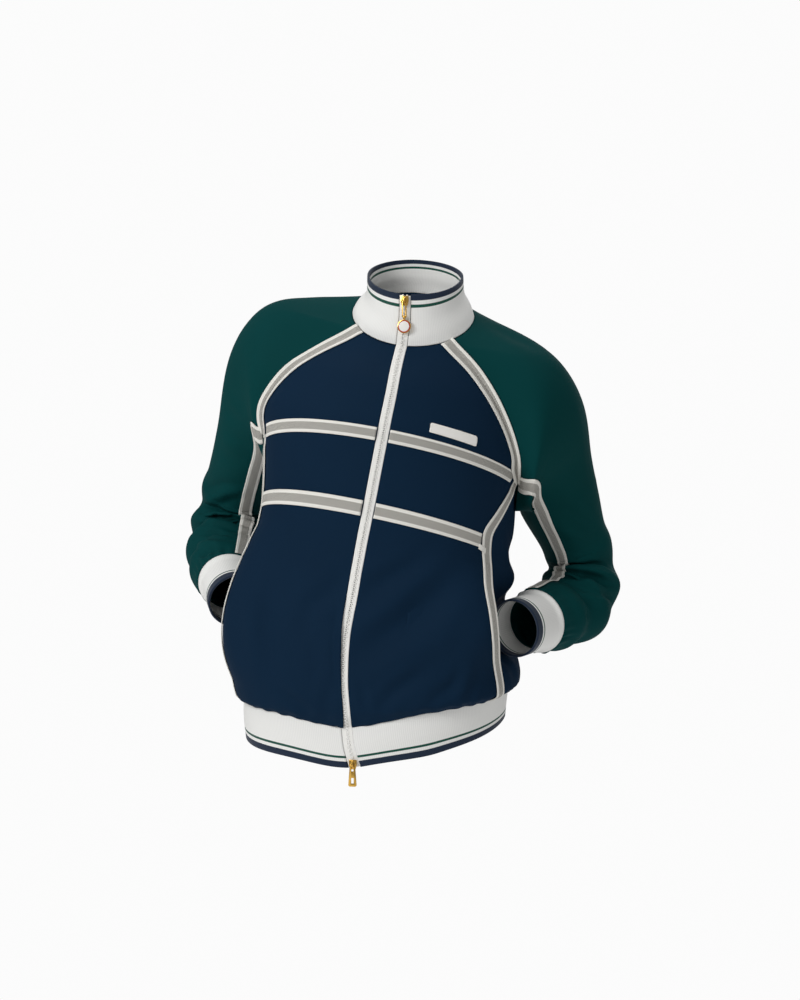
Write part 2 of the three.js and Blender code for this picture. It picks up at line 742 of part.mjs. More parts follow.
// Slides a place on a front by a distance across a line that runs along the given tangent
function slideAcross(side, angle, level, tangent, distance) {
  const h = 0.005;
  const round = frontPoint(side, angle + h, level).sub(frontPoint(side, angle - h, level));
  round.divideScalar(2 * h);
  const up = frontPoint(side, angle, Math.min(1, level + h)).sub(frontPoint(side, angle, level - h));
  up.divideScalar(Math.min(1, level + h) - level + h);
  const inwards = tangent.clone().cross(frontNormal(side, angle, level)).normalize();
  if (inwards.dot(round) > 0) inwards.negate();
  inwards.multiplyScalar(distance);
  const [e, f, g] = [round.dot(round), round.dot(up), up.dot(up)];
  const [a, b] = [inwards.dot(round), inwards.dot(up)];
  const scale = e * g - f * f;
  return { angle: angle + (a * g - b * f) / scale, level: level + (b * e - a * f) / scale };
}

// The sleeve's grid with the direction out of its wall at each point
function sleeveSpots(side) {
  const [outer, inner] = [sleeveRows(side, 0), sleeveRows(side, clothWall)];
  return outer.map((row, i) => row.map((p, k) => ({ p, n: p.clone().sub(inner[i][k]).normalize() })));
}
const lerpSpot = (a, b, t) => ({ p: a.p.clone().lerp(b.p, t), n: a.n.clone().lerp(b.n, t).normalize() });

// The raglan tape: half on the front, half on the sleeve, trimmed along the neck seam
const neckTrim = 0.99;
function raglanTape(side) {
  const samples = raglan[side].front;
  const spots = sleeveSpots(side);
  const half = tapeWidth / 2;
  const seamAt = (i) => frontPoint(side, samples[i].angle, samples[i].level);
  const rows = samples.map(({ angle, level }, i) => {
    const tangent = seamAt(Math.min(i + 1, frontRaglanSteps)).sub(seamAt(Math.max(0, i - 1))).normalize();
    const start = Math.min(level, neckTrim);
    const onFront = [half, half / 2].map((distance) => {
      const place = slideAcross(side, angle, start, tangent, distance);
      return frontSpot(side, place.angle, Math.min(place.level, neckTrim));
    });
    const seam = frontPoint(side, angle, start);
    const onSleeve = [half / 2, half].map((distance) => {
      const k = neckSteps - 1 + i;
      let row = 0;
      const away = (spot) => {
        const d = spot.p.clone().sub(seam);
        return d.addScaledVector(tangent, -d.dot(tangent)).length();
      };
      while (row < spots.length - 2 && away(spots[row + 1][k]) < distance) row++;
      const [near, far] = [away(spots[row][k]), away(spots[row + 1][k])];
      return lerpSpot(spots[row][k], spots[row + 1][k], clamp01((distance - near) / (far - near)));
    });
    const middle = { p: seam, n: onFront[1].n.clone().add(onSleeve[0].n).normalize() };
    return [...onFront, middle, ...onSleeve];
  });
  strip(`raglan_tape_${side}`, rows, tapeLift, tapeWall, "tape");
}

// The angle that a width takes up at a place on the body
const angleOf = (width, level) => width / sectionAt(level).half;

function seamAngleAt(side, level) {
  if (level <= crossingLevel) return sideAngle(side, level);
  return column(raglanRows.slice(0, crossingRow + 1).reverse(), side, "level", level) * degree;
}

// Tapes across the chest, from the zip to the tape down the side
const crossTapes = [
  { name: "upper", level: 0.747, end: 30 },
  { name: "lower", level: 0.561, end: 19.5 },
];
const bodyHeight = 486;
function crossTape(side, { name, level, end }) {
  const rows = [-0.5, 0, 0.5].map((t) => {
    const at = level + (t * tapeWidth) / bodyHeight;
    const from = angleAcross(zipTapeHalf + 1, at);
    const narrow = Math.min(seamAngleAt(side, at), seamAngleAt(side, level));
    const to = narrow - angleOf(end, at);
    return steps(9).map((u) => frontSpot(side, mix(from, to, u), at));
  });
  strip(`${name}_tape_${side}`, rows, tapeLift, tapeWall, "tape");
}

// The tape down a front's edge: along the side seam and the pocket's mouth to the hem
const sideTapeLevels = [...panelRows.slice(1), 0.72];
function sideTape(side) {
  const rows = sideTapeLevels.map((level) => {
    const edge = sideAngle(side, level) - angleOf(1.2, level);
    return [1, 0.5, 0].map((t) => frontSpot(side, edge - angleOf(tapeWidth * t, level), level));
  });
  strip(`side_tape_${side}`, rows, tapeLift, tapeWall, "tape");
}

// The tape down a sleeve: which column of the sleeve's grid it is centred on at each ring
const sleeveTapePath = [
  { ring: 0, column: 14.9, rise: 0.6 },
  { ring: 3, column: 14.6, rise: 1.8 },
  { ring: 8, column: 13.1, rise: 2.5 },
  { ring: 11, column: 11.8, rise: 0.6 },
  { ring: 15, column: 11.8, rise: 0.3 },
  { ring: 20, column: 12.2, rise: 0.3 },
  { ring: 27, column: 11.8, rise: 0.3 },
];
function sleeveTape(side) {
  const spots = sleeveSpots(side);
  const corner = neckSteps - 1 + frontRaglanSteps;
  const clear = (ring) => spots[ring][corner].p.distanceTo(spots[0][corner].p) > tapeWidth / 2 + 5;
  const rows = [];
  for (let ring = 0; ring < spots.length; ring++) {
    if (!clear(ring)) continue;
    const middle = column(sleeveTapePath, "column", "ring", ring);
    const rise = column(sleeveTapePath, "rise", "ring", ring);
    const short = ring === spots.length - 1 ? 0.2 : 0;
    rows.push([-0.85, -0.42, 0, 0.42, 0.85].map((shift) => {
      const k = Math.floor(middle + shift);
      const onRing = (i) => lerpSpot(spots[i][k], spots[i][k + 1], middle + shift - k);
      const { p, n } = lerpSpot(onRing(ring), onRing(ring - 1), short);
      return { p: p.addScaledVector(n, rise), n };
    }));
  }
  strip(`sleeve_tape_${side}`, rows, tapeLift, tapeWall, "tape");
}

// The bare patch on the wearer's left chest
const patch = { from: 18.5, to: 40.3, low: 0.794, high: 0.831, wall: 1 };
function chestPatch() {
  const rows = [patch.low, patch.high].map((level) =>
    steps(4).map((t) => frontSpot("left", mix(patch.from, patch.to, t) * degree, level)),
  );
  strip("chest_patch", rows, tapeLift, patch.wall, "enamel");
}

// The zip: a tape to each side and the chain between, from the hem's edge to near the collar's
const hemRows = [-0.985, -0.66, -0.33];
const chestRows = raglan.right.front.map(({ level }) => level).reverse();
const collarRows = [1.15, 1.3, 1.45, 1.6, 1.8, 1.97];
const zipRows = [...hemRows, ...panelRows, ...chestRows, ...collarRows];
function zipSpot(across, level) {
  const angle = Math.sign(across) * angleAcross(Math.abs(across), level);
  return { p: bodyPoint(angle, level), n: bodyNormal(angle, level) };
}
function zip() {
  const run = (name, from, to, levels, lift, thick, finish) => {
    const rows = levels.map((level) => [from, to].map((across) => zipSpot(across, level)));
    strip(name, rows, lift, thick, finish);
  };
  const inner = zipChainHalf + 0.25;
  run("zip_tape_right", -zipTapeHalf, -inner, zipRows, -1.5, zipTapeWall, "zip");
  run("zip_tape_left", inner, zipTapeHalf, zipRows, -1.5, zipTapeWall, "zip");
  run("zip_chain", -zipChainHalf, zipChainHalf, zipRows, -1.8, chainThick, "zip");
}

// Hard parts, each built flat and then set at a place on the zip: x across, y outwards, z up
function solidOf(geometry) {
  const bare = new THREE.BufferGeometry().setAttribute("position", geometry.getAttribute("position"));
  const merged = mergeVertices(bare, 1e-4);
  const mesh = new Mesh({
    numProp: 3,
    vertProperties: new Float32Array(merged.getAttribute("position").array),
    triVerts: new Uint32Array(merged.index.array),
  });
  return new Manifold(mesh);
}
function joined(geometries) {
  const mesh = Manifold.union(geometries.map(solidOf)).getMesh();
  const geometry = new THREE.BufferGeometry();
  geometry.setAttribute("position", new THREE.Float32BufferAttribute(mesh.vertProperties, 3));
  geometry.setIndex(Array.from(mesh.triVerts));
  return geometry;
}
function plain(geometry) {
  const flat = geometry.index ? geometry.toNonIndexed() : geometry;
  return new THREE.BufferGeometry().setAttribute("position", flat.getAttribute("position"));
}

function shapeOf(points) {
  const shape = new THREE.Shape();
  points.forEach(([x, y], i) => (i ? shape.lineTo(x, y) : shape.moveTo(x, y)));
  return shape;
}
function holeOf(points) {
  const path = new THREE.Path();
  points.forEach(([x, y], i) => (i ? path.lineTo(x, y) : path.moveTo(x, y)));
  return path;
}
const rectangle = (left, right, low, high) => [[left, low], [right, low], [right, high], [left, high]];
// A flat plate from its outline in x and z, standing from y = from to y = to
function plate(outline, holes, from, to) {
  const shape = shapeOf(outline);
  holes.forEach((hole) => shape.holes.push(holeOf(hole)));
  const geometry = new THREE.ExtrudeGeometry(shape, { depth: to - from, bevelEnabled: false });
  return plain(geometry.rotateX(Math.PI / 2).translate(0, to, 0));
}
// A side profile in y and z, as wide as the crown it makes
function profile(outline, holes, width) {
  const shape = shapeOf(outline);
  holes.forEach((hole) => shape.holes.push(holeOf(hole)));
  const geometry = new THREE.ExtrudeGeometry(shape, { depth: width, bevelEnabled: false });
  return plain(geometry.rotateY(Math.PI / 2).rotateX(Math.PI / 2).translate(-width / 2, 0, 0));
}
const ring = (radius, sides, z = 0) =>
  Array.from({ length: sides }, (_, i) => {
    const a = (i / sides) * 2 * Math.PI;
    return [radius * Math.cos(a), z + radius * Math.sin(a)];
  });

const slider = { half: 5, narrow: 3.6, top: 5.5, bottom: -6.5, thick: 1.8 };
const crown = { half: 1.2, end: 4, top: 5 };
const arch = { low: -2.8, high: 2.8, top: 3.9 };
const pin = { y: 2.85, z: -1.9, half: 0.7, side: 1.5, bar: 1.4, thick: 1.3 };
const link = { length: 19.4 };
const charm = { radius: 8.5, drop: 11.5, thick: 2, lugRadius: 2.4, lugHole: 1.3, lugHalf: 1 };
const tab = { length: 26, topHalf: 3.5, endHalf: 5.3, slotEnd: -8.8 };
const tabHole = { half: 1.75, from: -24, to: -17 };
const sliderClear = 0.3;

// A place on the zip with its own axes: across, outwards and up
function zipFrame(level, upright) {
  const { p, n } = zipSpot(0, level);
  const step = 0.02;
  const along = zipSpot(0, Math.min(2, level + step)).p.sub(zipSpot(0, level - step).p).normalize();
  const outwards = n.clone();
  const up = (upright ? vector(0, 0, 1) : along).clone();
  if (upright) outwards.addScaledVector(up, -outwards.dot(up)).normalize();
  else up.addScaledVector(outwards, -up.dot(outwards)).normalize();
  const across = outwards.clone().cross(up);
  const surface = chainThick - 1.8 + (upright ? 3 : 1) * sliderClear;
  const origin = p.clone().addScaledVector(n, surface);
  return new THREE.Matrix4().makeBasis(across, outwards, up).setPosition(origin);
}

function sliderBody() {
  const { half, narrow, top, bottom, thick } = slider;
  const outline = [
    [-half, top],
    [-half, -1],
    [-narrow, bottom],
    [narrow, bottom],
    [half, -1],
    [half, top],
  ];
  const foot = plate(outline, [], 0, thick);
  const side = [
    [1.5, -crown.end],
    [3.2, -crown.end],
    [crown.top, arch.low + 0.2],
    [crown.top, arch.high - 0.2],
    [3.2, crown.end],
    [1.5, crown.end],
  ];
  const hole = rectangle(thick - 0.1, arch.top, arch.low, arch.high);
  return joined([foot, profile(side, [hole], crown.half * 2)]);
}

// The link that hangs from the top slider's crown: a flat loop
function linkBody() {
  const outer = pin.side + pin.bar;
  const [high, low] = [pin.z + pin.half, pin.z - link.length - pin.half];
  const outline = [[-outer, high - 0.8], [-outer + 0.8, high], [outer - 0.8, high], [outer, high - 0.8]];
  outline.push([outer, low + 0.8], [outer - 0.8, low], [-outer + 0.8, low], [-outer, low + 0.8]);
  const hole = rectangle(-pin.side, pin.side, low + 2 * pin.half, high - 2 * pin.half);
  return plate(outline, [hole], pin.y - pin.thick / 2, pin.y + pin.thick / 2);
}

// The round charm, with a lug over the link's lower bar
function charmBody() {
  const { radius, drop, thick, lugRadius, lugHole, lugHalf } = charm;
  const z = pin.z - link.length;
  const disc = plate(ring(radius, 32, z - drop), [], pin.y - thick / 2, pin.y + thick / 2);
  const reach = z - drop + radius - 1;
  const outline = ring(lugRadius, 16, z).map(([y, at]) => [pin.y + y, at < z - 1 ? reach : at]);
  const hole = ring(lugHole, 12, z).map(([y, at]) => [pin.y + y, at]);
  return joined([disc, profile(outline, [hole], lugHalf * 2)]);
}

function tabBody() {
  const { length, topHalf, endHalf, slotEnd } = tab;
  const [high, low] = [pin.z + pin.half, pin.z + pin.half - length - 0.7];
  const outline = [[-topHalf, high - 1], [-topHalf + 1, high], [topHalf - 1, high], [topHalf, high - 1]];
  outline.push([endHalf, low + 1.5], [endHalf - 1.5, low], [-endHalf + 1.5, low], [-endHalf, low + 1.5]);
  const slot = rectangle(-pin.side, pin.side, slotEnd, high - 2 * pin.half);
  const hole = rectangle(-tabHole.half, tabHole.half, tabHole.from, tabHole.to);
  return plate(outline, [slot, hole], pin.y - pin.thick / 2, pin.y + pin.thick / 2);
}

const sliderPlaces = { top: { level: 1.88, upright: false }, bottom: { level: -0.9, upright: true } };
function hardware() {
  const top = zipFrame(sliderPlaces.top.level, sliderPlaces.top.upright);
  const bottom = zipFrame(sliderPlaces.bottom.level, sliderPlaces.bottom.upright);
  addPiece("slider_top", sliderBody().applyMatrix4(top), "gold");
  addPiece("pull_link", linkBody().applyMatrix4(top), "gold");
  addPiece("pull_charm", charmBody().applyMatrix4(top), "enamel");
  addPiece("slider_bottom", sliderBody().applyMatrix4(bottom), "gold");
  addPiece("pull_tab", tabBody().applyMatrix4(bottom), "gold");
}

for (const side of ["right", "left"]) {
  front(side);
  pocketBag(side);
  sleevePieces(side);
  raglanTape(side);
  crossTapes.forEach((tape) => crossTape(side, tape));
  sideTape(side);
  sleeveTape(side);
}
back();
band("hem_band", [-1, -0.66, -0.33, 0]);
band("collar", [1, 1.15, 1.3, 1.45, 1.6, 1.8, 2]);
chestPatch();
zip();
hardware();

export default jacket;
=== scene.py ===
# A zip-front track jacket with raglan sleeves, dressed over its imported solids.
# The surfaces repeat the part's own tables, in millimetres: -Y is the front, +X the wearer's left,
# +Z up, and the origin is the centre of the neck seam.
import math

import bpy
import bmesh
import numpy as np
from mathutils import Matrix, Vector


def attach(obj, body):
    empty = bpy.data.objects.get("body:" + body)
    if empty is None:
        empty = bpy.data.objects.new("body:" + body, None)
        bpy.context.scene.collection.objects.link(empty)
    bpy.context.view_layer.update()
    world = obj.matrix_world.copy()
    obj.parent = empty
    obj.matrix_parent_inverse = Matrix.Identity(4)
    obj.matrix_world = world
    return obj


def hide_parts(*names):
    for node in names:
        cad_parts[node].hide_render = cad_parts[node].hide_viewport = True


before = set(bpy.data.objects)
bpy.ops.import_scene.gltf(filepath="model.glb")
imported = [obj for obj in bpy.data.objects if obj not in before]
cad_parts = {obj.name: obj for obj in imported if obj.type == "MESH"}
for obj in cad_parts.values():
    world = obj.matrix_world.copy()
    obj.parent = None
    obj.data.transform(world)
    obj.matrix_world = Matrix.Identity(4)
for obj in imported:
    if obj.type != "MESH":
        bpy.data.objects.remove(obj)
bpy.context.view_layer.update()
print("frame loaded")

mm = 0.001
degree = math.pi / 180
sign = {"right": -1, "left": 1}
sides = ("right", "left")

# The garment's form, as in the part's source
sizes = {
    "clothWall": 2,
    "tapeWidth": 18,
    "tapeLift": 0.85,
    "tapeWall": 1.2,
    "seamGap": 0.4,
    "zipTapeHalf": 7.2,
    "bodyHeight": 486,
}

# One section of the garment per row: its centre, half width, front and back depths, then degrees
# of roll, tilt, tilt behind and turn, how square it is and how far its front dips
sectionColumns = (
    "level", "x", "z", "y", "half", "front", "back", "roll", "tilt", "behind", "turn", "square", "dip",
)
hemRows = (
    (-1, -52.4, -517.9, 0, 169.1, 111.7, 104, -6.5, 14.4, 8, -0.7, 0.03, 17.5),
    (-0.5, -53, -499.8, 0, 172.4, 113.2, 105, -5, 10.9, 8, -3.7, 0.03, 16.3),
    (0, -52.3, -482.2, 0, 175.1, 109, 103, -3.3, 7.4, 8, -6.4, 0.03, 15.8),
)
bodyRows = (
    (0, -52.3, -482.2, 0, 175.1, 109, 103, -3.3, 7.4, 8, -6.4, 0.03, 15.8),
    (0.04, -49.1, -475.1, 0, 186.7, 119.8, 111, -4, 6.8, 6, -7.3, 0.04, 2.5),
    (0.12, -54.6, -432.4, 0, 186.2, 121.1, 113, -3.7, 9.5, 3, -5.8, 0.05, 0),
    (0.227, -52.9, -396.2, 0, 181, 119.3, 108, -0.9, 3.1, 1, -5.7, 0.05, 0),
    (0.357, -47, -348.8, 0, 171.6, 116.7, 103, 3.8, -4.4, 0, -3.5, 0.04, 0),
    (0.474, -41, -310.9, 0, 165.7, 116.4, 101, 8.3, -13.8, -2, -1.4, 0.03, 0),
    (0.561, -36.4, -275.8, 0, 159.8, 119.7, 104, 10.6, -18.4, -4, 1.2, 0.03, 0),
    (0.747, -30.4, -186.1, 0, 162, 124.3, 108, 8, -19.7, -6, 7.2, 0.02, 0),
    (0.83, -25.7, -149.9, 0, 166.5, 116.9, 103, 10.2, -16.9, -2, 7.2, 0.01, 0),
    (0.9, -16.5, -77.4, 0, 139.9, 99.1, 90, 9.4, 0.7, 6, 5.7, 0, 0),
    (1, -2.2, 1.2, 0, 77.9, 63.8, 62, 5.5, 33.1, 22, -1.6, 0, 0),
)
collarRows = (
    (1, -2.2, 1.2, 0, 77.9, 63.8, 62, 5.5, 33.1, 22, -1.6, 0, 0),
    (1.3, -2, 12, 1, 73, 67, 60, 4.5, 30, 22, 0, 0, 0),
    (1.55, 0, 27, 2, 63, 66, 56, 4.5, 27, 21, 0, 0, 0),
    (2, 0, 50.5, 3, 61, 64, 55, 5, 21, 20, 0, 0, 0),
)
# The raglan seam from the neck round under the arm to the neck: its level and its degrees from
# the centre front on each side
raglanRows = [
    {"index": k, "level": level, "right": right, "left": left}
    for k, (level, right, left) in enumerate((
        (1, 49, 43.6), (0.95, 57, 50.7), (0.9, 62, 55.5), (0.85, 71, 64), (0.79, 79.5, 71),
        (0.747, 81, 82.5), (0.7, 88, 89), (0.675, 96, 96), (0.7, 104, 104), (0.8, 118, 118),
        (0.9, 133, 133), (1, 150, 150),
    ))
]
crossingRow = 5
crossingLevel = 0.747
neckBack = 150
sideSeam = [
    {"level": level, "right": right, "left": left}
    for level, right, left in (
        (0, 76, 73), (0.12, 76, 70), (0.21, 76, 70), (0.31, 76, 68), (0.42, 76, 64), (0.5, 76, 62.5),
        (0.55, 76, 61), (0.59, 76, 61), (0.64, 77, 67), (0.7, 79, 75.5), (0.747, 81, 82.5),
    )
]
# The pocket mouths: levels, the bag's free edge in degrees, and how each is held open
pocket = {"low": 0.08, "high": 0.5, "bag": 24, "inset": 1.6, "dentReach": 46}
pockets = {"right": {"push": (-14, -26, 0), "dent": 22}, "left": {"push": (8, -30, 0), "dent": 22}}
sleeves = {
    "right": {
        "centre": (-211, 20.2, -86.2), "rise": 92.1, "drop": 98, "fore": 62, "aft": 62, "lean": -8.4,
        "upper": (-237.3, 90.2, -175.1), "elbow": (-295.3, 184.8, -291.6),
        "cuffSeam": (-251.2, 18.9, -348.8), "cuffEnd": (-229.7, -24.7, -367.4), "bend": 58,
        "radii": [
            {"at": 0, "out": 52.1, "deep": 52}, {"at": 0.3, "out": 51.3, "deep": 48},
            {"at": 0.55, "out": 56.3, "deep": 50}, {"at": 0.8, "out": 52.1, "deep": 46},
            {"at": 1, "out": 43, "deep": 41},
        ],
    },
    "left": {
        "centre": (173.8, 23.4, -163.7), "rise": 92.7, "drop": 86, "fore": 62, "aft": 62, "lean": 23.5,
        "upper": (170.2, 92.2, -235.1), "elbow": (214.4, 154, -371.2),
        "cuffSeam": (156.4, 3.1, -387.7), "cuffEnd": (135.4, -43.3, -391.7), "bend": 58,
        "radii": [
            {"at": 0, "out": 54.1, "deep": 52.2}, {"at": 0.3, "out": 42.7, "deep": 46.1},
            {"at": 0.55, "out": 50.6, "deep": 48.7}, {"at": 0.8, "out": 46.7, "deep": 42},
            {"at": 1, "out": 41.7, "deep": 42},
        ],
    },
}
cuffRadius = 37


def mix(a, b, t):
    return a + (b - a) * t


def clamp01(t):
    return np.clip(t, 0, 1)


def ease(t):
    return t * t * (3 - 2 * t)


def unit(v):
    return v / np.maximum(np.linalg.norm(v, axis=-1, keepdims=True), 1e-9)


def column(table, name, by, value):
    # a smooth curve through one column of a table, by another column
    known = np.array([row[by] for row in table], float)
    given = np.array([row[name] for row in table], float)
    last = len(table) - 1
    before, after = np.maximum(np.arange(last + 1) - 1, 0), np.minimum(np.arange(last + 1) + 1, last)
    slope = (given[after] - given[before]) / (known[after] - known[before])
    value = np.asarray(value, float)
    i = np.clip(np.searchsorted(known, value, side="left") - 1, 0, last - 1)
    span = known[i + 1] - known[i]
    t = clamp01((value - known[i]) / span)
    t2, t3 = t * t, t * t * t
    return (
        (2 * t3 - 3 * t2 + 1) * given[i]
        + (t3 - 2 * t2 + t) * span * slope[i]
        + (3 * t2 - 2 * t3) * given[i + 1]
        + (t3 - t2) * span * slope[i + 1]
    )


sectionTables = [
    [dict(zip(sectionColumns, row)) for row in rows] for rows in (hemRows, bodyRows, collarRows)
]


def sectionAt(level):
    masks = (level < 0, (level >= 0) & (level <= 1), level > 1)
    found = {}
    for name in sectionColumns[1:]:
        values = np.zeros_like(level)
        for table, mask in zip(sectionTables, masks):
            if mask.any():
                values[mask] = column(table, name, "level", level[mask])
        found[name] = values
    return found


# The hem's lower edge hangs further down at the wearer's left: by how much, and between which
# angles from the centre front it sets in and fades
hemSag = {"drop": 13, "from": 0.08, "full": 0.63, "fades": 1.94, "to": 3.14}


def sagAt(away, level):
    setIn = ease(clamp01((away - hemSag["from"]) / (hemSag["full"] - hemSag["from"])))
    left = ease(clamp01((hemSag["to"] - away) / (hemSag["to"] - hemSag["fades"])))
    return hemSag["drop"] * np.maximum(0, -level) * setIn * left


def bodyPoint(angle, level):
    # a point of the smooth body, by angle from the centre front towards the wearer's left
    angle, level = np.broadcast_arrays(np.asarray(angle, float), np.asarray(level, float))
    s = sectionAt(level)
    swell = 1 + s["square"] * np.sin(2 * angle) ** 2
    across = s["half"] * np.sin(angle) * swell
    depth = -np.where(np.cos(angle) > 0, s["front"], s["back"]) * np.cos(angle) * swell
    turn = s["turn"] * degree
    x = across * np.cos(turn) - depth * np.sin(turn)
    y = across * np.sin(turn) + depth * np.cos(turn)
    before, behind = np.tan(s["tilt"] * degree), np.tan(s["behind"] * degree)
    bend = np.hypot(y, 22) - 22
    fromFront = np.arctan2(np.sin(angle), np.cos(angle))
    dip = s["dip"] * np.exp(-((fromFront / 0.42) ** 2))
    tilted = (y * (before + behind) + bend * (behind - before)) / 2
    z = -x * np.tan(s["roll"] * degree) + tilted - dip - sagAt(fromFront, level)
    return np.stack([s["x"] + x, s["y"] + y, s["z"] + z], -1)


def bodyNormal(angle, level):
    angle, level = np.broadcast_arrays(np.asarray(angle, float), np.asarray(level, float))
    low = np.where(level > 1, 1, np.where(level < 0, -1, 0))
    high = np.where(level > 1, 2, np.where(level < 0, 0, 1))
    below, above = np.maximum(low, level - 0.01), np.minimum(high, level + 0.01)
    around = bodyPoint(angle + 0.01, level) - bodyPoint(angle - 0.01, level)
    up = bodyPoint(angle, above) - bodyPoint(angle, below)
    return unit(np.cross(around, up))


def angleAcross(distance, level):
    return np.arcsin(distance / sectionAt(np.asarray(level, float))["half"])


def mouth(level):
    return np.sin(np.pi * clamp01((level - pocket["low"]) / (pocket["high"] - pocket["low"])))


def sideAngle(side, level):
    return column(sideSeam, side, "level", level) * degree


def seamAngle(side, level):
    # the side seam below the crossing, the raglan seam above it
    upper = column(raglanRows[crossingRow::-1], side, "level", level) * degree
    return np.where(level <= crossingLevel, sideAngle(side, level), upper)


def frontPoint(side, angle, level, inward=0):
    angle, level = np.broadcast_arrays(np.asarray(angle, float), np.asarray(level, float))
    point = bodyPoint(sign[side] * angle, level)
    share = clamp01((angle / degree - pocket["bag"]) / (sideAngle(side, level) / degree - pocket["bag"]))
    push = np.array(pockets[side]["push"]) * (ease(share) * mouth(level))[..., None]
    return point + push - bodyNormal(sign[side] * angle, level) * inward


# Stretches of each arm that press the back in: from, to, radius at each end, reach beyond
armStretches = (("elbow", "cuffSeam", 50, 42, 0), ("cuffSeam", "cuffEnd", 42, 38, 45))


def armPress(side, point):
    press = np.zeros(point.shape[:-1])
    for start, end, radius, endRadius, beyond in armStretches:
        a, b = np.array(sleeves[side][start]), np.array(sleeves[side][end])
        length = np.linalg.norm(b - a)
        along = (b - a) / length
        t = np.clip((point - a) @ along, 0, length + beyond)
        away = np.linalg.norm(point - (a + along * t[..., None]), axis=-1)
        depth = mix(radius, endRadius, np.minimum(1, t / length)) + 7 - away
        press = np.maximum(press, 6 * np.log(1 + np.exp(np.minimum(depth * 1.15 / 6, 50))))
    return np.where(press < 0.2, 0, press)


def backPoint(angle, level, inward=0):
    angle, level = np.broadcast_arrays(np.asarray(angle, float), np.asarray(level, float))
    point = bodyPoint(angle, level)
    press = np.zeros_like(angle)
    for side in sides:
        around = angle if side == "left" else 2 * np.pi - angle
        mine = (angle < np.pi) if side == "left" else (angle >= np.pi)
        away = np.abs(around - sideAngle(side, level)) / degree
        dent = pockets[side]["dent"] * mouth(level) * (1 - ease(clamp01(away / pocket["dentReach"])))
        arm = armPress(side, point) * ease(clamp01(level / 0.06))
        press = np.where(mine, np.maximum(dent, arm), press)
    return point - bodyNormal(angle, level) * (press + inward)[..., None]


def backTop(u):
    # where each of the back's columns ends: the raglan seam, or the neck seam between
    def half(side, k):
        index = np.where(k < 5, 5 + 3 * k / 5, 8 + 3 * (k - 5) / 9)
        angle = column(raglanRows, side, "index", index) * degree
        return angle, column(raglanRows, "level", "index", index)

    k = u * 34
    leftAngle, leftLevel = half("left", np.clip(k, 0, 14))
    rightAngle, rightLevel = half("right", np.clip(34 - k, 0, 14))
    middle = mix(neckBack, 360 - neckBack, clamp01((k - 14) / 6)) * degree
    angle = np.where(k <= 14, leftAngle, np.where(k >= 20, 2 * np.pi - rightAngle, middle))
    level = np.where(k <= 14, leftLevel, np.where(k >= 20, rightLevel, 1))
    return angle, level


def backPlace(u, share):
    topAngle, topLevel = backTop(u)
    level = topLevel * share
    below = np.minimum(level, crossingLevel)
    lean = {side: sideAngle(side, below) - sideAngle(side, crossingLevel) for side in sides}
    left = lean["left"] * (1 - ease(clamp01(u / 0.42)))
    right = lean["right"] * ease(clamp01((u - 0.58) / 0.42))
    return topAngle + left - right, level


# Sleeves


def rotated(v, axis, angle):
    # turns vectors about an axis, each by its own angle
    c, s = np.cos(angle)[..., None], np.sin(angle)[..., None]
    return v * c + np.cross(axis, v) * s + axis * (v @ axis)[..., None] * (1 - c)


def armLine(sleeve):
    # the middle line of an arm: two straight runs joined by an arc
    start, elbow, end = (np.array(sleeve[name], float) for name in ("upper", "elbow", "cuffSeam"))
    down, on = unit(elbow - start), unit(end - elbow)
    angle = math.acos(float(down @ on))
    cut = sleeve["bend"] * math.tan(angle / 2)
    first = np.linalg.norm(elbow - start) - cut
    second = np.linalg.norm(end - elbow) - cut
    arc = sleeve["bend"] * angle
    axis = unit(np.cross(down, on))
    arcStart = start + down * first
    centre = arcStart + np.cross(axis, down) * sleeve["bend"]

    def at(share):
        s = np.asarray(share, float) * (first + arc + second)
        turned = clamp01((s - first) / arc) * angle
        onArc = rotated(np.broadcast_to(arcStart - centre, s.shape + (3,)), axis, turned) + centre
        direction = rotated(np.broadcast_to(down, s.shape + (3,)), axis, turned)
        straight = start + down * s[..., None]
        beyond = onArc + direction * np.maximum(0, s - first - arc)[..., None]
        point = np.where((s <= first)[..., None], straight, beyond)
        return point, direction, turned

    return {"at": at, "axis": axis, "down": down}


elbowFolds = (
    (0.3, 4, 0.05, 60), (0.4, -6, 0.035, 80), (0.48, 5, 0.04, 40), (0.56, -5, 0.035, 70),
    (0.66, 5, 0.045, 20), (0.76, -4, 0.035, 50), (0.86, 4, 0.05, 0),
)


def sleeveFold(share, phi):
    total = 0
    for at, height, width, deepest in elbowFolds:
        facing = 0.5 + 0.5 * np.cos(phi - deepest * degree)
        total = total + height * np.exp(-(((share - at) / width) ** 2)) * facing
    return total


def armRing(side, share, phi):
    sleeve = sleeves[side]
    line = armLine(sleeve)
    share, phi = np.broadcast_arrays(np.asarray(share, float), np.asarray(phi, float))
    point, direction, turned = line["at"](share)
    outward = np.array([sign[side], 0.0, 0.0])
    out = unit(outward - line["down"] * (outward @ line["down"]))
    fore = unit(np.cross(out, line["down"]) * -sign[side])
    if fore[1] > 0:
        fore = -fore
    out = rotated(np.broadcast_to(out, point.shape), line["axis"], turned)
    fore = rotated(np.broadcast_to(fore, point.shape), line["axis"], turned)
    outRadius = column(sleeve["radii"], "out", "at", share) + sleeveFold(share, phi)
    deepRadius = column(sleeve["radii"], "deep", "at", share) + sleeveFold(share, phi)
    return point + out * (np.cos(phi) * outRadius)[..., None] + fore * (np.sin(phi) * deepRadius)[..., None]


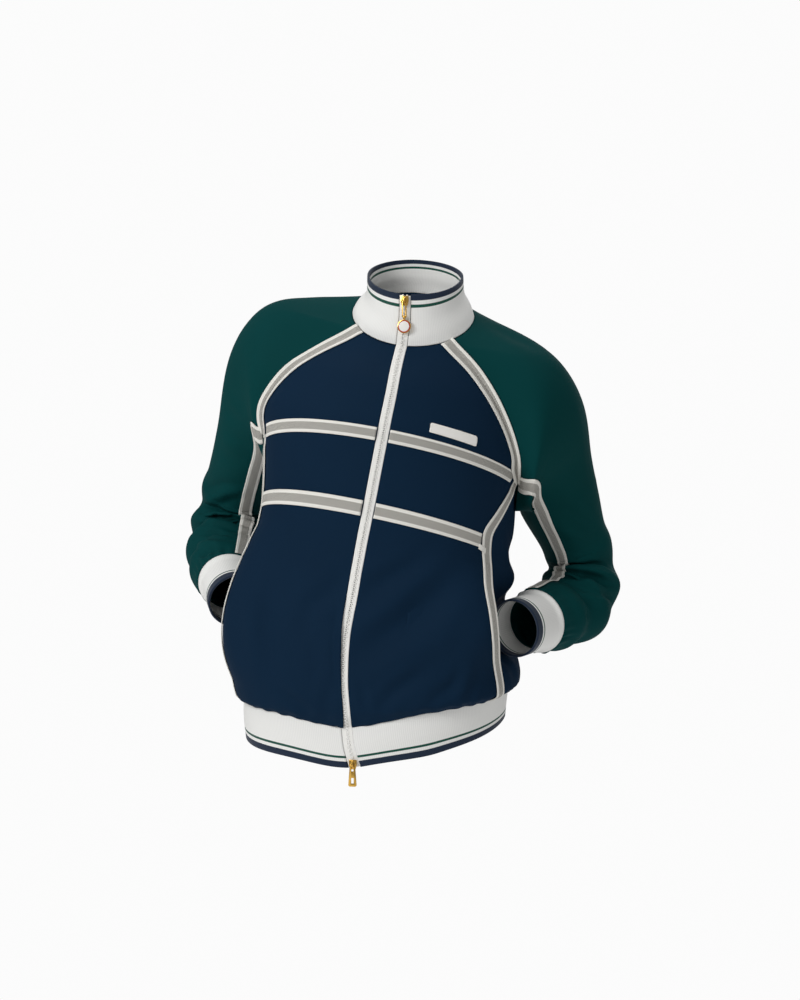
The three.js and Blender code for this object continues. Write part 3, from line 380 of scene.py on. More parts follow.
def sleeveLoop(side, u):
    # the raglan loop: angle and level on the body, and the angle phi on round the arm
    s = np.mod(u, 1) * 30
    corner = raglanRows[0][side]
    index = np.where(s < 16, (s - 6) / 2, np.where(s < 21, 5 + 3 * (s - 16) / 5, 8 + 3 * (s - 21) / 9))
    index = np.clip(index, 0, 11)
    onNeck = s < 6
    onSeam = column(raglanRows, side, "index", index)
    angle = np.where(onNeck, mix(neckBack, corner, s / 6), onSeam) * degree
    level = np.where(onNeck, 1.0, column(raglanRows, "level", "index", index))
    phi = np.interp(s, (0, 6, 16, 21, 30), (-26, 26, 140, 216, 334)) * degree
    return angle, level, phi


def hermite(a, leave, b, arrive, t):
    t2, t3 = t * t, t * t * t
    places = a * (2 * t3 - 3 * t2 + 1) + b * (3 * t2 - 2 * t3)
    return places + leave * (t3 - 2 * t2 + t) + arrive * (t3 - t2)


def sleeveRings(side, u, v):
    # v runs from the raglan seam: 6 parts of the cap, 5 round the shoulder, 16 of the arm
    u, v = np.broadcast_arrays(np.asarray(u, float), np.asarray(v, float))
    sleeve = sleeves[side]
    angle, level, phi = sleeveLoop(side, u)
    seam = bodyPoint(sign[side] * angle, level)
    up, ahead = np.cos(phi), np.sin(phi)
    centre = np.array(sleeve["centre"])
    ring = np.stack([
        centre[0] + sleeve["lean"] * up,
        centre[1] - ahead * np.where(ahead > 0, sleeve["fore"], sleeve["aft"]),
        centre[2] + up * np.where(up > 0, sleeve["rise"], sleeve["drop"]),
    ], -1)
    arm = armRing(side, np.zeros_like(v), phi)
    down = armLine(sleeve)["down"]
    k = v * 27
    chord = ring - seam
    reach = np.linalg.norm(chord, axis=-1, keepdims=True)
    onward = np.linalg.norm(arm - ring, axis=-1, keepdims=True)
    through = unit(arm - seam)
    cap = hermite(seam, chord, ring, through * reach, clamp01(k / 6)[..., None])
    shoulder = hermite(ring, through * onward, arm, down * onward, clamp01((k - 6) / 5)[..., None])
    lower = armRing(side, clamp01((k - 11) / 16), phi)
    return np.where((k < 6)[..., None], cap, np.where((k < 11)[..., None], shoulder, lower))


def sleevePoint(side, u, v):
    # the rings smoothed where the cap meets the shoulder and the shoulder the arm
    u, v = np.broadcast_arrays(np.asarray(u, float), np.asarray(v, float))
    plain = sleeveRings(side, u, v)
    k = v * 27
    share = np.exp(-(((k - 6) / 2.6) ** 2)) + 0.8 * np.exp(-(((k - 11) / 1.6) ** 2))
    weights = ((-2, 1), (-1, 2), (0, 3), (1, 2), (2, 1))
    smooth = sum(weight * sleeveRings(side, u, clamp01(v + d / 27)) for d, weight in weights) / 9
    return mix(plain, smooth, np.minimum(1, share * clamp01(k / 3))[..., None])


def cuffPoint(side, u, v):
    # from the sleeve's seam to the folded edge at the hand
    u, v = np.broadcast_arrays(np.asarray(u, float), np.asarray(v, float))
    sleeve = sleeves[side]
    start, end = np.array(sleeve["cuffSeam"]), np.array(sleeve["cuffEnd"])
    along = unit(end - start)
    _, _, phi = sleeveLoop(side, u)
    base = armRing(side, np.ones_like(v), phi)
    radial = base - armLine(sleeve)["at"](np.ones_like(v))[0]
    radial = unit(radial - along * ((radial @ along) * v)[..., None])
    radius = cuffRadius + 4 * np.exp(-((v / 0.08) ** 2))
    return start + (end - start) * v[..., None] + radial * radius[..., None]

# Making pieces


def crease(height, width, *line):
    return {"line": line, "height": height, "width": width}


def creaseShift(creases, points):
    # how far soft troughs and ridges move each point along its normal: each crease is a line of places
    # in the garment's frame with its height and half width, and every crease's ends fade alike
    total = np.zeros(len(points))
    for crease in creases:
        line = np.array(crease["line"], float)
        best, where = np.full(len(points), 1e9), np.zeros(len(points))
        lengths = np.linalg.norm(np.diff(line, axis=0), axis=1)
        run = np.concatenate([[0], np.cumsum(lengths)])
        for k in range(len(line) - 1):
            along = (line[k + 1] - line[k]) / max(lengths[k], 1e-6)
            t = np.clip((points - line[k]) @ along, 0, lengths[k])
            away = np.linalg.norm(points - (line[k] + along * t[:, None]), axis=1)
            closer = away < best
            best = np.where(closer, away, best)
            where = np.where(closer, run[k] + t, where)
        share = where / run[-1]
        fade = np.sin(np.pi * clamp01(share * 0.92 + 0.04)) ** 0.8
        width = crease["width"]
        near = best / width
        section = np.exp(-(near**2)) - 0.35 * np.exp(-(((near - 1.9) / 0.8) ** 2))
        total += crease["height"] * fade * section
    return total


def gridMesh(name, cols, rows, place, uvSize, flip=False, closed=False, shift=None):
    # a fine grid laid on a surface: place takes u and v from 0 to 1 and gives points in mm
    bm = bmesh.new()
    bm.loops.layers.uv.new("cloth")
    bmesh.ops.create_grid(bm, x_segments=cols, y_segments=rows, size=0.5, calc_uvs=True)
    flat = np.array([v.co for v in bm.verts])
    u, v = flat[:, 0] + 0.5, flat[:, 1] + 0.5
    points = place(u, v)
    h = 0.002
    if closed:
        round_ = place(np.mod(u + h, 1), v) - place(np.mod(u - h, 1), v)
    else:
        round_ = place(np.minimum(1, u + h), v) - place(np.maximum(0, u - h), v)
    up = place(u, np.minimum(1, v + h)) - place(u, np.maximum(0, v - h))
    normal = unit(np.cross(round_, up)) * (-1 if flip else 1)
    if shift is not None:
        points = points + normal * shift(u, v, points)[:, None]
    for vert, p in zip(bm.verts, points * mm):
        vert.co = p
    layer = bm.loops.layers.uv.verify()
    for face in bm.faces:
        for loop in face.loops:
            loop[layer].uv = (loop[layer].uv[0] * uvSize[0], loop[layer].uv[1] * uvSize[1])
    if closed:
        bmesh.ops.remove_doubles(bm, verts=bm.verts[:], dist=1e-6)
    if flip:
        bmesh.ops.reverse_faces(bm, faces=bm.faces[:])
    return finishMesh(name, bm)


def finishMesh(name, bm, smooth=True):
    for face in bm.faces:
        face.smooth = smooth
    mesh = bpy.data.meshes.new(name)
    bm.to_mesh(mesh)
    bm.free()
    piece = bpy.data.objects.new(name, mesh)
    bpy.context.scene.collection.objects.link(piece)
    return piece


# How thick each kind of cloth is, in mm
walls = {
    "panel": 1.6, "bag": 0.8, "cuff": 2.6, "band": 2.8,
    "tape": 1.0, "patch": 0.9, "zipTape": 1.0, "barTack": 0.8,
}


def thicken(piece, thickness):
    solid = piece.modifiers.new("thickness", "SOLIDIFY")
    solid.thickness = thickness * mm
    solid.offset = -1
    solid.use_even_offset = False
    return piece


def dress(piece, material, body, slot, *nodes):
    piece.data.materials.clear()
    piece.data.materials.append(material)
    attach(piece, body)
    if nodes:
        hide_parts(*nodes)
    return piece


def seamDip(u, v, width, height, edges, depth=1.1, reach=2.4):
    # cloth rolls into a seam at each of the edges named
    away = {"start": u * width, "end": (1 - u) * width, "low": v * height, "high": (1 - v) * height}
    return -depth * sum(np.exp(-((away[edge] / reach) ** 2)) for edge in edges)


# Materials


def linear(hexColour):
    # sRGB hex to linear
    values = [int(hexColour[k:k + 2], 16) / 255 for k in (1, 3, 5)]
    return [c / 12.92 if c <= 0.04045 else ((c + 0.055) / 1.055) ** 2.4 for c in values] + [1]


def node(tree, kind, settings=(), links=()):
    # adds a node: settings name attributes or sockets, links pair a socket with an output
    made = tree.nodes.new(kind)
    for name, value in dict(settings).items():
        if isinstance(name, int) or name in made.inputs:
            made.inputs[name].default_value = value
        else:
            setattr(made, name, value)
    for socket, output in dict(links).items():
        tree.links.new(output, made.inputs[socket])
    return made


# A wave texture whose bands are 1 mm apart on a piece's own map in mm has this scale
perMm = 0.314
bandsAcross = {"wave_type": "BANDS", "bands_direction": "X"}
bandsAlong = {"wave_type": "BANDS", "bands_direction": "Y"}


def newMaterial(name):
    material = bpy.data.materials.new(name)
    material.use_nodes = True
    tree = material.node_tree
    tree.nodes.clear()
    surface = node(tree, "ShaderNodeBsdfPrincipled")
    node(tree, "ShaderNodeOutputMaterial", links={"Surface": surface.outputs["BSDF"]})
    return material, tree, surface


def knitMaterial(name, colour, sheenColour, sheen=0.035):
    # smooth double knit of fine polyester: matt, with a soft silky sheen where it turns away.
    # Its wales are 0.8 mm apart, drawn at 1.1 mm so that they show close to
    material, tree, surface = newMaterial(name)
    uv = node(tree, "ShaderNodeUVMap", {"uv_map": "cloth"}).outputs["UV"]
    wales = node(tree, "ShaderNodeTexWave", bandsAcross | {"Scale": perMm / 1.1}, {"Vector": uv})
    courses = node(tree, "ShaderNodeTexWave", bandsAlong | {"Scale": perMm / 0.8}, {"Vector": uv})
    loops = {0: wales.outputs["Fac"], 1: courses.outputs["Fac"]}
    height = node(tree, "ShaderNodeMath", {"operation": "MULTIPLY"}, loops)
    relief = {"Strength": 0.25, "Distance": 0.00015}
    bump = node(tree, "ShaderNodeBump", relief, {"Height": height.outputs[0]})
    place = node(tree, "ShaderNodeTexCoord").outputs["Object"]
    cloud = node(tree, "ShaderNodeTexNoise", {"Scale": 9, "Detail": 3}, {"Vector": place})
    base = linear(colour)
    dark, light = [c * 0.9 for c in base[:3]] + [1], [c * 1.1 for c in base[:3]] + [1]
    shades = {"data_type": "RGBA", "A": dark, "B": light}
    shade = node(tree, "ShaderNodeMix", shades, {"Factor": cloud.outputs["Fac"]})
    tree.links.new(shade.outputs["Result"], surface.inputs["Base Color"])
    tree.links.new(bump.outputs["Normal"], surface.inputs["Normal"])
    surface.inputs["Roughness"].default_value = 0.72
    surface.inputs["Specular IOR Level"].default_value = 0.05
    surface.inputs["Sheen Weight"].default_value = sheen
    surface.inputs["Sheen Roughness"].default_value = 0.4
    surface.inputs["Sheen Tint"].default_value = linear(sheenColour)
    return material


def ribMaterial(name, stripes, period=2.2):
    # fine 1x1 rib in bright white polyester, its ribs drawn 2.2 mm apart so that they show, with painted
    # shade darkening the colour in the valleys between them.
    # stripes are rows of (from this many mm along the band, colour)
    material, tree, surface = newMaterial(name)
    uv = node(tree, "ShaderNodeUVMap", {"uv_map": "cloth"}).outputs["UV"]
    parts = node(tree, "ShaderNodeSeparateXYZ", links={0: uv})
    ribs = node(tree, "ShaderNodeTexWave", bandsAcross | {"Scale": perMm / period}, {"Vector": uv})
    courses = node(tree, "ShaderNodeTexWave", bandsAlong | {"Scale": perMm / 1.0}, {"Vector": uv})
    knit = {0: courses.outputs["Fac"], 2: ribs.outputs["Fac"]}
    both = node(tree, "ShaderNodeMath", {"operation": "MULTIPLY_ADD", 1: 0.25}, knit)
    bump = node(tree, "ShaderNodeBump", {"Strength": 0.35, "Distance": 0.0003}, {"Height": both.outputs[0]})
    colour = None
    for start, named in stripes:
        if colour is None:
            colour = node(tree, "ShaderNodeRGB").outputs[0]
            colour.default_value = linear(colours[named])
            continue
        edge = {"From Min": start - 0.12, "From Max": start + 0.12}
        step = node(tree, "ShaderNodeMapRange", edge, {"Value": parts.outputs["Y"]})
        stripe = {"data_type": "RGBA", "B": linear(colours[named])}
        mixed = node(tree, "ShaderNodeMix", stripe, {"Factor": step.outputs[0], "A": colour})
        colour = mixed.outputs["Result"]
    # painted shade: the base colour darkens to 0.93 in the valleys between the ribs, where the bump sinks
    valleyShadeRange = {"To Min": 0.93, "To Max": 1.0}
    paintedValleyShade = node(tree, "ShaderNodeMapRange", valleyShadeRange, {"Value": ribs.outputs["Fac"]})
    paintedShadeInputs = {0: colour, "Scale": paintedValleyShade.outputs[0]}
    shade = node(tree, "ShaderNodeVectorMath", {"operation": "SCALE"}, paintedShadeInputs)
    tree.links.new(shade.outputs["Vector"], surface.inputs["Base Color"])
    tree.links.new(bump.outputs["Normal"], surface.inputs["Normal"])
    surface.inputs["Roughness"].default_value = 0.75
    surface.inputs["Specular IOR Level"].default_value = 0.25
    surface.inputs["Sheen Weight"].default_value = 0.2
    return material


def tapeMaterial(name, edgeColour, netColour, holeColour):
    # woven tape 18 mm wide: close-woven edges with an open net between them, its holes 1.5 mm apart
    material, tree, surface = newMaterial(name)
    uv = node(tree, "ShaderNodeUVMap", {"uv_map": "cloth"}).outputs["UV"]
    parts = node(tree, "ShaderNodeSeparateXYZ", links={0: uv})
    middle = node(tree, "ShaderNodeMath", {"operation": "SUBTRACT", 1: 9.0}, {0: parts.outputs["X"]})
    away = node(tree, "ShaderNodeMath", {"operation": "ABSOLUTE"}, {0: middle.outputs[0]})
    edge = {"From Min": 4.7, "From Max": 5.2}
    onEdge = node(tree, "ShaderNodeMapRange", edge, {"Value": away.outputs[0]})
    turned = node(tree, "ShaderNodeMapping", {"Rotation": (0, 0, math.pi / 4)}, {"Vector": uv})
    holes = {"Scale": perMm / 1.5}
    first = node(tree, "ShaderNodeTexWave", bandsAcross | holes, {"Vector": turned.outputs[0]})
    second = node(tree, "ShaderNodeTexWave", bandsAlong | holes, {"Vector": turned.outputs[0]})
    crossed = {0: first.outputs["Fac"], 1: second.outputs["Fac"]}
    threads = node(tree, "ShaderNodeMath", {"operation": "MAXIMUM"}, crossed)
    opened = {"From Min": 0.7, "From Max": 0.92}
    thread = node(tree, "ShaderNodeMapRange", opened, {"Value": threads.outputs[0]})
    shades = {"data_type": "RGBA", "A": linear(holeColour), "B": linear(netColour)}
    net = node(tree, "ShaderNodeMix", shades, {"Factor": thread.outputs[0]})
    middleAndEdge = {"Factor": onEdge.outputs[0], "A": net.outputs["Result"]}
    colour = node(tree, "ShaderNodeMix", {"data_type": "RGBA", "B": linear(edgeColour)}, middleAndEdge)
    weave = node(tree, "ShaderNodeTexWave", bandsAlong | {"Scale": perMm / 0.9}, {"Vector": uv})
    raised = {"operation": "MULTIPLY_ADD", 1: 0.2, 2: 0.9}
    edgeHeight = node(tree, "ShaderNodeMath", raised, {0: weave.outputs["Fac"]})
    heights = {"Factor": onEdge.outputs[0], "A": thread.outputs[0], "B": edgeHeight.outputs[0]}
    height = node(tree, "ShaderNodeMix", {"data_type": "FLOAT"}, heights)
    relief = {"Strength": 0.5, "Distance": 0.0004}
    bump = node(tree, "ShaderNodeBump", relief, {"Height": height.outputs[0]})
    tree.links.new(colour.outputs["Result"], surface.inputs["Base Color"])
    tree.links.new(bump.outputs["Normal"], surface.inputs["Normal"])
    surface.inputs["Roughness"].default_value = 0.7
    surface.inputs["Specular IOR Level"].default_value = 0.3
    return material


def plainMaterial(name, colour, roughness, metallic=0.0, coat=0.0, grain=0.0, grainScale=900):
    # a hard or woven finish with a fine grain that breaks up its gloss
    material, tree, surface = newMaterial(name)
    place = node(tree, "ShaderNodeTexCoord").outputs["Object"]
    noise = node(tree, "ShaderNodeTexNoise", {"Scale": grainScale, "Detail": 2}, {"Vector": place})
    spread = {"To Min": roughness * 0.85, "To Max": roughness * 1.15}
    rough = node(tree, "ShaderNodeMapRange", spread, {"Value": noise.outputs["Fac"]})
    tree.links.new(rough.outputs[0], surface.inputs["Roughness"])
    if grain:
        relief = {"Strength": grain, "Distance": 0.0001}
        bump = node(tree, "ShaderNodeBump", relief, {"Height": noise.outputs["Fac"]})
        tree.links.new(bump.outputs["Normal"], surface.inputs["Normal"])
    surface.inputs["Base Color"].default_value = linear(colour)
    surface.inputs["Metallic"].default_value = metallic
    surface.inputs["Coat Weight"].default_value = coat
    return material


colours = {
    "navy": "#0d253b",
    "navySheen": "#3d6a9c",
    "green": "#043c3d",
    "greenSheen": "#3c8c82",
    "white": "#f4f4f1",
    "stripe": "#0c4c3e",
    "ribNavy": "#12253c",
    "tapeEdge": "#efede6",
    "tapeNet": "#d6d3cb",
    "tapeHole": "#75736e",
    "zip": "#f3f2ee",
    "gilt": "#e3b55a",
    "enamel": "#f6f4ef",
    "rim": "#b8282c",
}

bodyKnit = knitMaterial("navyDoubleKnit", colours["navy"], colours["navySheen"])
sleeveKnit = knitMaterial("greenDoubleKnit", colours["green"], colours["greenSheen"])
bagKnit = knitMaterial("navyPocketKnit", colours["navy"], colours["navySheen"])
# the ribs' stripes: each starts that many mm along the band
hemRib = ribMaterial("hemRib", ((0, "ribNavy"), (8.2, "white"), (12.4, "stripe"), (15.4, "white")))
collarRib = ribMaterial("collarRib", ((0, "white"), (39.2, "stripe"), (42.2, "white"), (46, "ribNavy")))
cuffRib = ribMaterial("cuffRib", ((0, "white"), (34, "stripe"), (35.8, "white"), (38.2, "ribNavy")))
tapeWeave = tapeMaterial("netTape", colours["tapeEdge"], colours["tapeNet"], colours["tapeHole"])
zipWeave = plainMaterial("zipTapeWeave", colours["zip"], 0.7, grain=0.4, grainScale=1400)
zipAcetal = plainMaterial("zipTeethAcetal", colours["zip"], 0.38, grain=0.05)
gilt = plainMaterial("giltBrass", colours["gilt"], 0.22, metallic=1.0, grain=0.03, grainScale=300)
enamel = plainMaterial("whiteEnamel", colours["enamel"], 0.15, coat=0.5)
rimEnamel = plainMaterial("redEnamel", colours["rim"], 0.15, coat=0.5)
threadPolyester = plainMaterial("threadPolyester", colours["tapeEdge"], 0.6, grain=0.3, grainScale=2000)
patchWeave = plainMaterial("patchTwill", colours["enamel"], 0.6, grain=0.3, grainScale=1100)
print("materials made")

# The body's panels
fineness = {
    "front": (110, 170), "back": (220, 150), "sleeve": (136, 206),
    "cuff": (120, 26), "collar": (280, 34), "hem": (420, 34),
}
frontSplit = 0.7


# The cloth blouses a little over the hem rib, unevenly: mm below the seam, in long and short waves
blouse = {"drop": 1.3, "long": (1.3, 58), "short": (0.6, 25), "fade": 15, "roll": 1.9}


def blouseDrop(run, away, phase):
    waves = blouse["drop"]
    for kind, turn in (("long", 1), ("short", 2.3)):
        height, spacing = blouse[kind]
        waves = waves + height * np.sin(2 * np.pi * run / spacing + phase * turn)
    return np.maximum(0.3, waves) * np.exp(-((away / blouse["fade"]) ** 2))


def blouseRoll(away):
    # how far it stands out as it turns under, besides its seam's dip
    return blouse["roll"] * np.exp(-(((away - 1) / 6) ** 2))


def frontPlace(side, u, v):
    low = crossingLevel * v / frontSplit
    index = crossingRow * (1 - clamp01((v - frontSplit) / (1 - frontSplit)))
    below = v < frontSplit
    level = np.where(below, low, column(raglanRows, "level", "index", index))
    edge = np.where(below, sideAngle(side, low), column(raglanRows, side, "index", index) * degree)
    # the right front's edge rolls over its zip tape low down
    over = 6 * np.exp(-(((level - 0.12) / 0.14) ** 4)) if side == "right" else 0
    start = angleAcross(sizes["zipTapeHalf"] - over, level)
    away = v * 480
    nearZip = ease(clamp01(u * 12))
    level = level - nearZip * blouseDrop(u * 200, away, sign[side] + 1.4) / sizes["bodyHeight"]
    return mix(start, edge, u), level


def frontSurface(side, u, v):
    angle, level = frontPlace(side, u, v)
    return frontPoint(side, angle, level)


# Gathers where a panel is sewn to its rib: height, spacing and how far they fade, in mm
gathers = {"front": (0.8, 21, 20), "back": (1.2, 19, 22), "sleeve": (1.6, 17, 22)}


def gather(kind, run, away, phase=0.0):
    height, spacing, fade = gathers[kind]
    wave = np.sin(2 * np.pi * run / spacing + phase + 1.3 * np.sin(run / 31.0 + phase))
    return height * wave * np.exp(-((away / fade) ** 2)) * (0.6 + 0.4 * np.sin(run / 23.0 + 2 * phase))


def backLine(*places):
    u, v = np.array(places, float).T
    return backPoint(*backPlace(u, v))


def sleeveLine(side, *places):
    u, v = np.array(places, float).T
    return sleevePoint(side, u, v)


# The main creases, each a height, a half width and the places it runs through
frontCreases = {
    "right": [
        crease(-2.6, 7, (-156, -100, -469), (-140, -104, -478), (-129, -107, -486), (-109, -109, -499)),
        crease(2.6, 15, (-190, -82, -325), (-192, -86, -384), (-187, -89, -440)),
        crease(-2.2, 13, (-171, -90, -350), (-172, -95, -400), (-160, -100, -455)),
        crease(-2.4, 11, (-62, -116, -318), (-84, -114, -345), (-111, -109, -362), (-122, -108, -400)),
        crease(2.2, 10, (-96, -112, -480), (-85, -115, -440), (-92, -115, -400)),
        crease(2.6, 5, (-64, -116, -352), (-69, -118, -390), (-70, -118, -425), (-66, -118, -458)),
        crease(-1.8, 8, (-92, -104, -507), (-88, -112, -478), (-80, -114, -450)),
    ],
    "left": [
        crease(-3.6, 14, (-62, -120, -430), (-7, -119, -392), (36, -112, -359), (72, -100, -325)),
        crease(3, 13, (-56, -118, -390), (-4, -119, -357), (36, -112, -322), (70, -98, -292)),
        crease(-2.4, 10, (-46, -115, -345), (-10, -117, -322), (30, -114, -306)),
        crease(2.6, 13, (-38, -121, -455), (6, -121, -432), (55, -115, -399), (91, -104, -352)),
        crease(-2.6, 8, (-22, -121, -490), (0, -122, -464), (36, -118, -440)),
        crease(-2.2, 7, (30, -112, -492), (52, -114, -470), (84, -104, -446)),
        crease(2, 8, (72, -104, -482), (84, -102, -455), (92, -98, -425)),
        crease(-1.6, 6, (-32, -115, -500), (-38, -120, -476), (-44, -121, -450)),
    ],
}
sleeveCreases = {
    "right": [
        crease(
            -7.5, 5.5, (-320, 106, -258), (-313, 100, -263), (-294, 93, -268),
            (-260, 87, -273), (-240, 90, -284),
        ),
        crease(5, 7, (-326, 118, -256), (-304, 101, -247), (-272, 78, -235), (-250, 70, -232)),
        crease(4, 5, (-322, 107, -278), (-289, 82, -277), (-259, 80, -281)),
        crease(-4.5, 5, (-320, 84, -291), (-285, 66, -290), (-257, 49, -291)),
        crease(3, 5, (-314, 62, -302), (-292, 42, -300), (-270, 29, -299), (-247, 31, -300)),
        crease(-3.5, 5, (-316, 69, -315), (-285, 20, -312), (-256, 17, -306)),
        crease(-2.4, 12, (-206, 12, -30), (-180, -24, -60), (-168, -38, -96)),
        crease(-2.6, 11, (-262, 20, -120), (-236, -20, -150), (-210, -12, -178)),
        crease(2.4, 13, (-268, 40, -160), (-246, 4, -190), (-222, 12, -206)),
        crease(-2.2, 12, (-150, 40, 12), (-180, 30, -6), (-214, 24, -22)),
    ],
    "left": [
        crease(
            -7.5, 5.5, (172, 72, -333), (179, 70, -335), (203, 66, -336), (227, 80, -341), (247, 100, -350),
        ),
        crease(4.5, 7, (168, 66, -318), (196, 70, -318), (226, 88, -322), (242, 104, -332)),
        crease(-3.2, 4, (208, 80, -316), (214, 87, -319), (229, 97, -325), (241, 105, -332)),
        crease(-3, 11, (163, 33, -238), (190, 46, -251), (215, 74, -276), (228, 92, -292)),
        crease(2.6, 10, (166, 50, -262), (190, 60, -276), (214, 84, -300)),
        crease(-3.2, 5, (222, 58, -352), (230, 62, -357), (243, 102, -368)),
        crease(3.2, 5, (184, 50, -352), (208, 46, -358), (232, 58, -366)),
        crease(-4, 5, (176, 34, -362), (196, 26, -374), (222, 34, -384)),
        crease(-2.6, 8, (192, 62, -286), (202, 69, -291), (224, 86, -306)),
        crease(-2.2, 12, (96, 8, -12), (133, 4, -30), (160, 2, -50)),
        crease(-2.4, 13, (214, 20, -190), (196, -2, -214), (172, 4, -232)),
    ],
}
for side in sides:
    # the same folds carried on over the hidden side of the arm
    for height, width, places in (
        (-5, 6, ((0.72, 0.78), (0.82, 0.8), (0.94, 0.77))),
        (4, 8, ((0.7, 0.72), (0.84, 0.74), (0.97, 0.7))),
        (-4, 7, ((0.68, 0.86), (0.82, 0.88), (0.96, 0.85))),
        (3, 8, ((0.66, 0.92), (0.8, 0.94), (0.95, 0.92))),
        (-3, 12, ((0.62, 0.3), (0.76, 0.36), (0.9, 0.3))),
        (-3, 12, ((0.74, 0.16), (0.82, 0.3), (0.92, 0.44))),
        (2.6, 14, ((0.66, 0.5), (0.8, 0.54), (0.94, 0.5))),
    ):
        sleeveCreases[side].append(crease(height, width, *sleeveLine(side, *places)))
backCreases = [
    crease(height, width, *backLine(*places))
    for height, width, places in (
        (-4, 15, ((0.08, 0.93), (0.18, 0.78), (0.3, 0.66), (0.42, 0.6))),
        (-4, 15, ((0.92, 0.94), (0.83, 0.8), (0.72, 0.7), (0.62, 0.63))),
        (3, 17, ((0.14, 0.7), (0.27, 0.56), (0.42, 0.5))),
        (3, 17, ((0.87, 0.72), (0.74, 0.58), (0.6, 0.53))),
        (-3.4, 14, ((0.06, 0.52), (0.2, 0.46), (0.34, 0.5))),
        (-3.4, 13, ((0.95, 0.5), (0.8, 0.44), (0.66, 0.47))),
        (-3, 11, ((0.24, 0.02), (0.27, 0.14), (0.33, 0.26))),
        (3, 13, ((0.4, 0.03), (0.42, 0.16), (0.48, 0.3))),
        (-3, 12, ((0.56, 0.02), (0.57, 0.16), (0.54, 0.3))),
        (-3, 11, ((0.76, 0.02), (0.73, 0.15), (0.66, 0.26))),
        (-2.4, 18, ((0.36, 0.95), (0.5, 0.9), (0.64, 0.95))),
        (-3, 8, ((0.02, 0.3), (0.06, 0.2), (0.1, 0.08))),
        (-3, 8, ((0.98, 0.32), (0.94, 0.2), (0.9, 0.08))),
    )
]


def makeFronts():
    for side in sides:
        def shift(u, v, points, side=side):
            width, height = 175, 480
            dips = seamDip(u, v, width, height, ("end", "low", "high"))
            level = v * crossingLevel / frontSplit
            roll = 2.8 * np.exp(-((u / 0.06) ** 2) - ((level - 0.12) / 0.14) ** 4) * (side == "right")
            turned = blouseRoll(v * height) + gather("front", u * width, v * height, sign[side])
            return creaseShift(frontCreases[side], points) + dips + roll + turned
        cols, rows = fineness["front"]
        turned = side == "right"
        place = lambda u, v: frontSurface(side, u, v)
        piece = gridMesh(f"frontPanel_{side}", cols, rows, place, (175, 480), turned, shift=shift)
        thicken(piece, walls["panel"])
        dress(piece, bodyKnit, "jacket", "navy", f"front_{side}")
        place = lambda u, v: bagSurface(side, u, v)
        bag = gridMesh(f"pocketBag_{side}Cloth", 40, 60, place, (110, 240), turned)
        thicken(bag, walls["bag"])
        dress(bag, bagKnit, "jacket", "lining", f"pocket_bag_{side}")


def bagSurface(side, u, v):
    level = mix(pocket["low"] - 0.02, pocket["high"] + 0.02, v)
    seam = sideAngle(side, level) - 0.5 * degree
    angle = mix(pocket["bag"] * degree, seam, u)
    behind = sizes["clothWall"] + pocket["inset"]
    atFront = frontPoint(side, angle, level, behind)
    atBack = backPoint(angle if side == "left" else 2 * np.pi - angle, level, behind)
    return mix(atFront, atBack, ease(clamp01(u * 1.6))[..., None])


def makeBack():
    def surface(u, v):
        angle, level = backPlace(u, v)
        return backPoint(angle, level)
    def shift(u, v, points):
        width, height = 620, 480
        dips = seamDip(u, v, width, height, ("start", "end", "low", "high"))
        return creaseShift(backCreases, points) + dips + gather("back", u * width, v * height)
    cols, rows = fineness["back"]
    piece = gridMesh("backPanel", cols, rows, surface, (620, 480), shift=shift)
    thicken(piece, walls["panel"])
    dress(piece, bodyKnit, "jacket", "navy", "back")


def makeSleeves():
    for side in sides:
        def shift(u, v, points, side=side):
            run, length = u * 330, (1 - v) * 480
            dips = seamDip(u, v, 330, 480, ("low", "high"))
            gathered = gather("sleeve", run, length, sign[side])
            return creaseShift(sleeveCreases[side], points) + dips + gathered
        cols, rows = fineness["sleeve"]
        turned = side == "right"
        place = lambda u, v: sleevePoint(side, u, v)
        piece = gridMesh(f"sleeve_{side}Cloth", cols, rows, place, (330, 480), turned, True, shift)
        thicken(piece, walls["panel"])
        dress(piece, sleeveKnit, "jacket", "green", f"sleeve_{side}")
        cols, rows = fineness["cuff"]
        place = lambda u, v: cuffPoint(side, u, v)
        cuff = gridMesh(f"cuff_{side}Rib", cols, rows, place, (240, 48), turned, True)
        thicken(cuff, walls["cuff"])
        dress(cuff, cuffRib, "jacket", "rib", f"cuff_{side}")


def bandSurface(low, high, u, v):
    level = mix(low, high, v)
    start = angleAcross(sizes["zipTapeHalf"] + sizes["seamGap"], level)
    angle = mix(start, 2 * np.pi - start, u)
    return bodyPoint(angle, level)


def makeBands():
    for name, low, high, size, rib, key, cadNode in (
        ("collarRibBand", 1, 2, (420, 52), collarRib, "collar", "collar"),
        ("hemRibBand", -1, 0, (900, 52), hemRib, "hem", "hem_band"),
    ):
        cols, rows = fineness[key]
        piece = gridMesh(name, cols, rows, lambda u, v: bandSurface(low, high, u, v), size)
        thicken(piece, walls["band"])
        dress(piece, rib, "jacket", "rib", cadNode)


makeFronts()
makeBack()
print("panels made")
makeSleeves()
makeBands()
print("sleeves and ribs made")

# Tapes
tapes = {
    "cross": ({"name": "upper", "level": 0.747, "end": 30}, {"name": "lower", "level": 0.561, "end": 19.5}),
    "sleevePath": [
        {"ring": 0, "column": 14.9}, {"ring": 3, "column": 14.6}, {"ring": 8, "column": 13.1},
        {"ring": 11, "column": 11.8}, {"ring": 15, "column": 11.8}, {"ring": 20, "column": 12.2},
        {"ring": 27, "column": 11.8},
    ],
    "sleeveHalf": 0.82,  # in columns of the sleeve's grid
}


def frontNormal(side, angle, level):
    h = 0.01
    below, above = np.maximum(0, level - h), np.minimum(1, level + h)
    around = frontPoint(side, angle + h, level) - frontPoint(side, angle - h, level)
    up = frontPoint(side, angle, above) - frontPoint(side, angle, below)
    return unit(np.cross(around, up)) * sign[side]


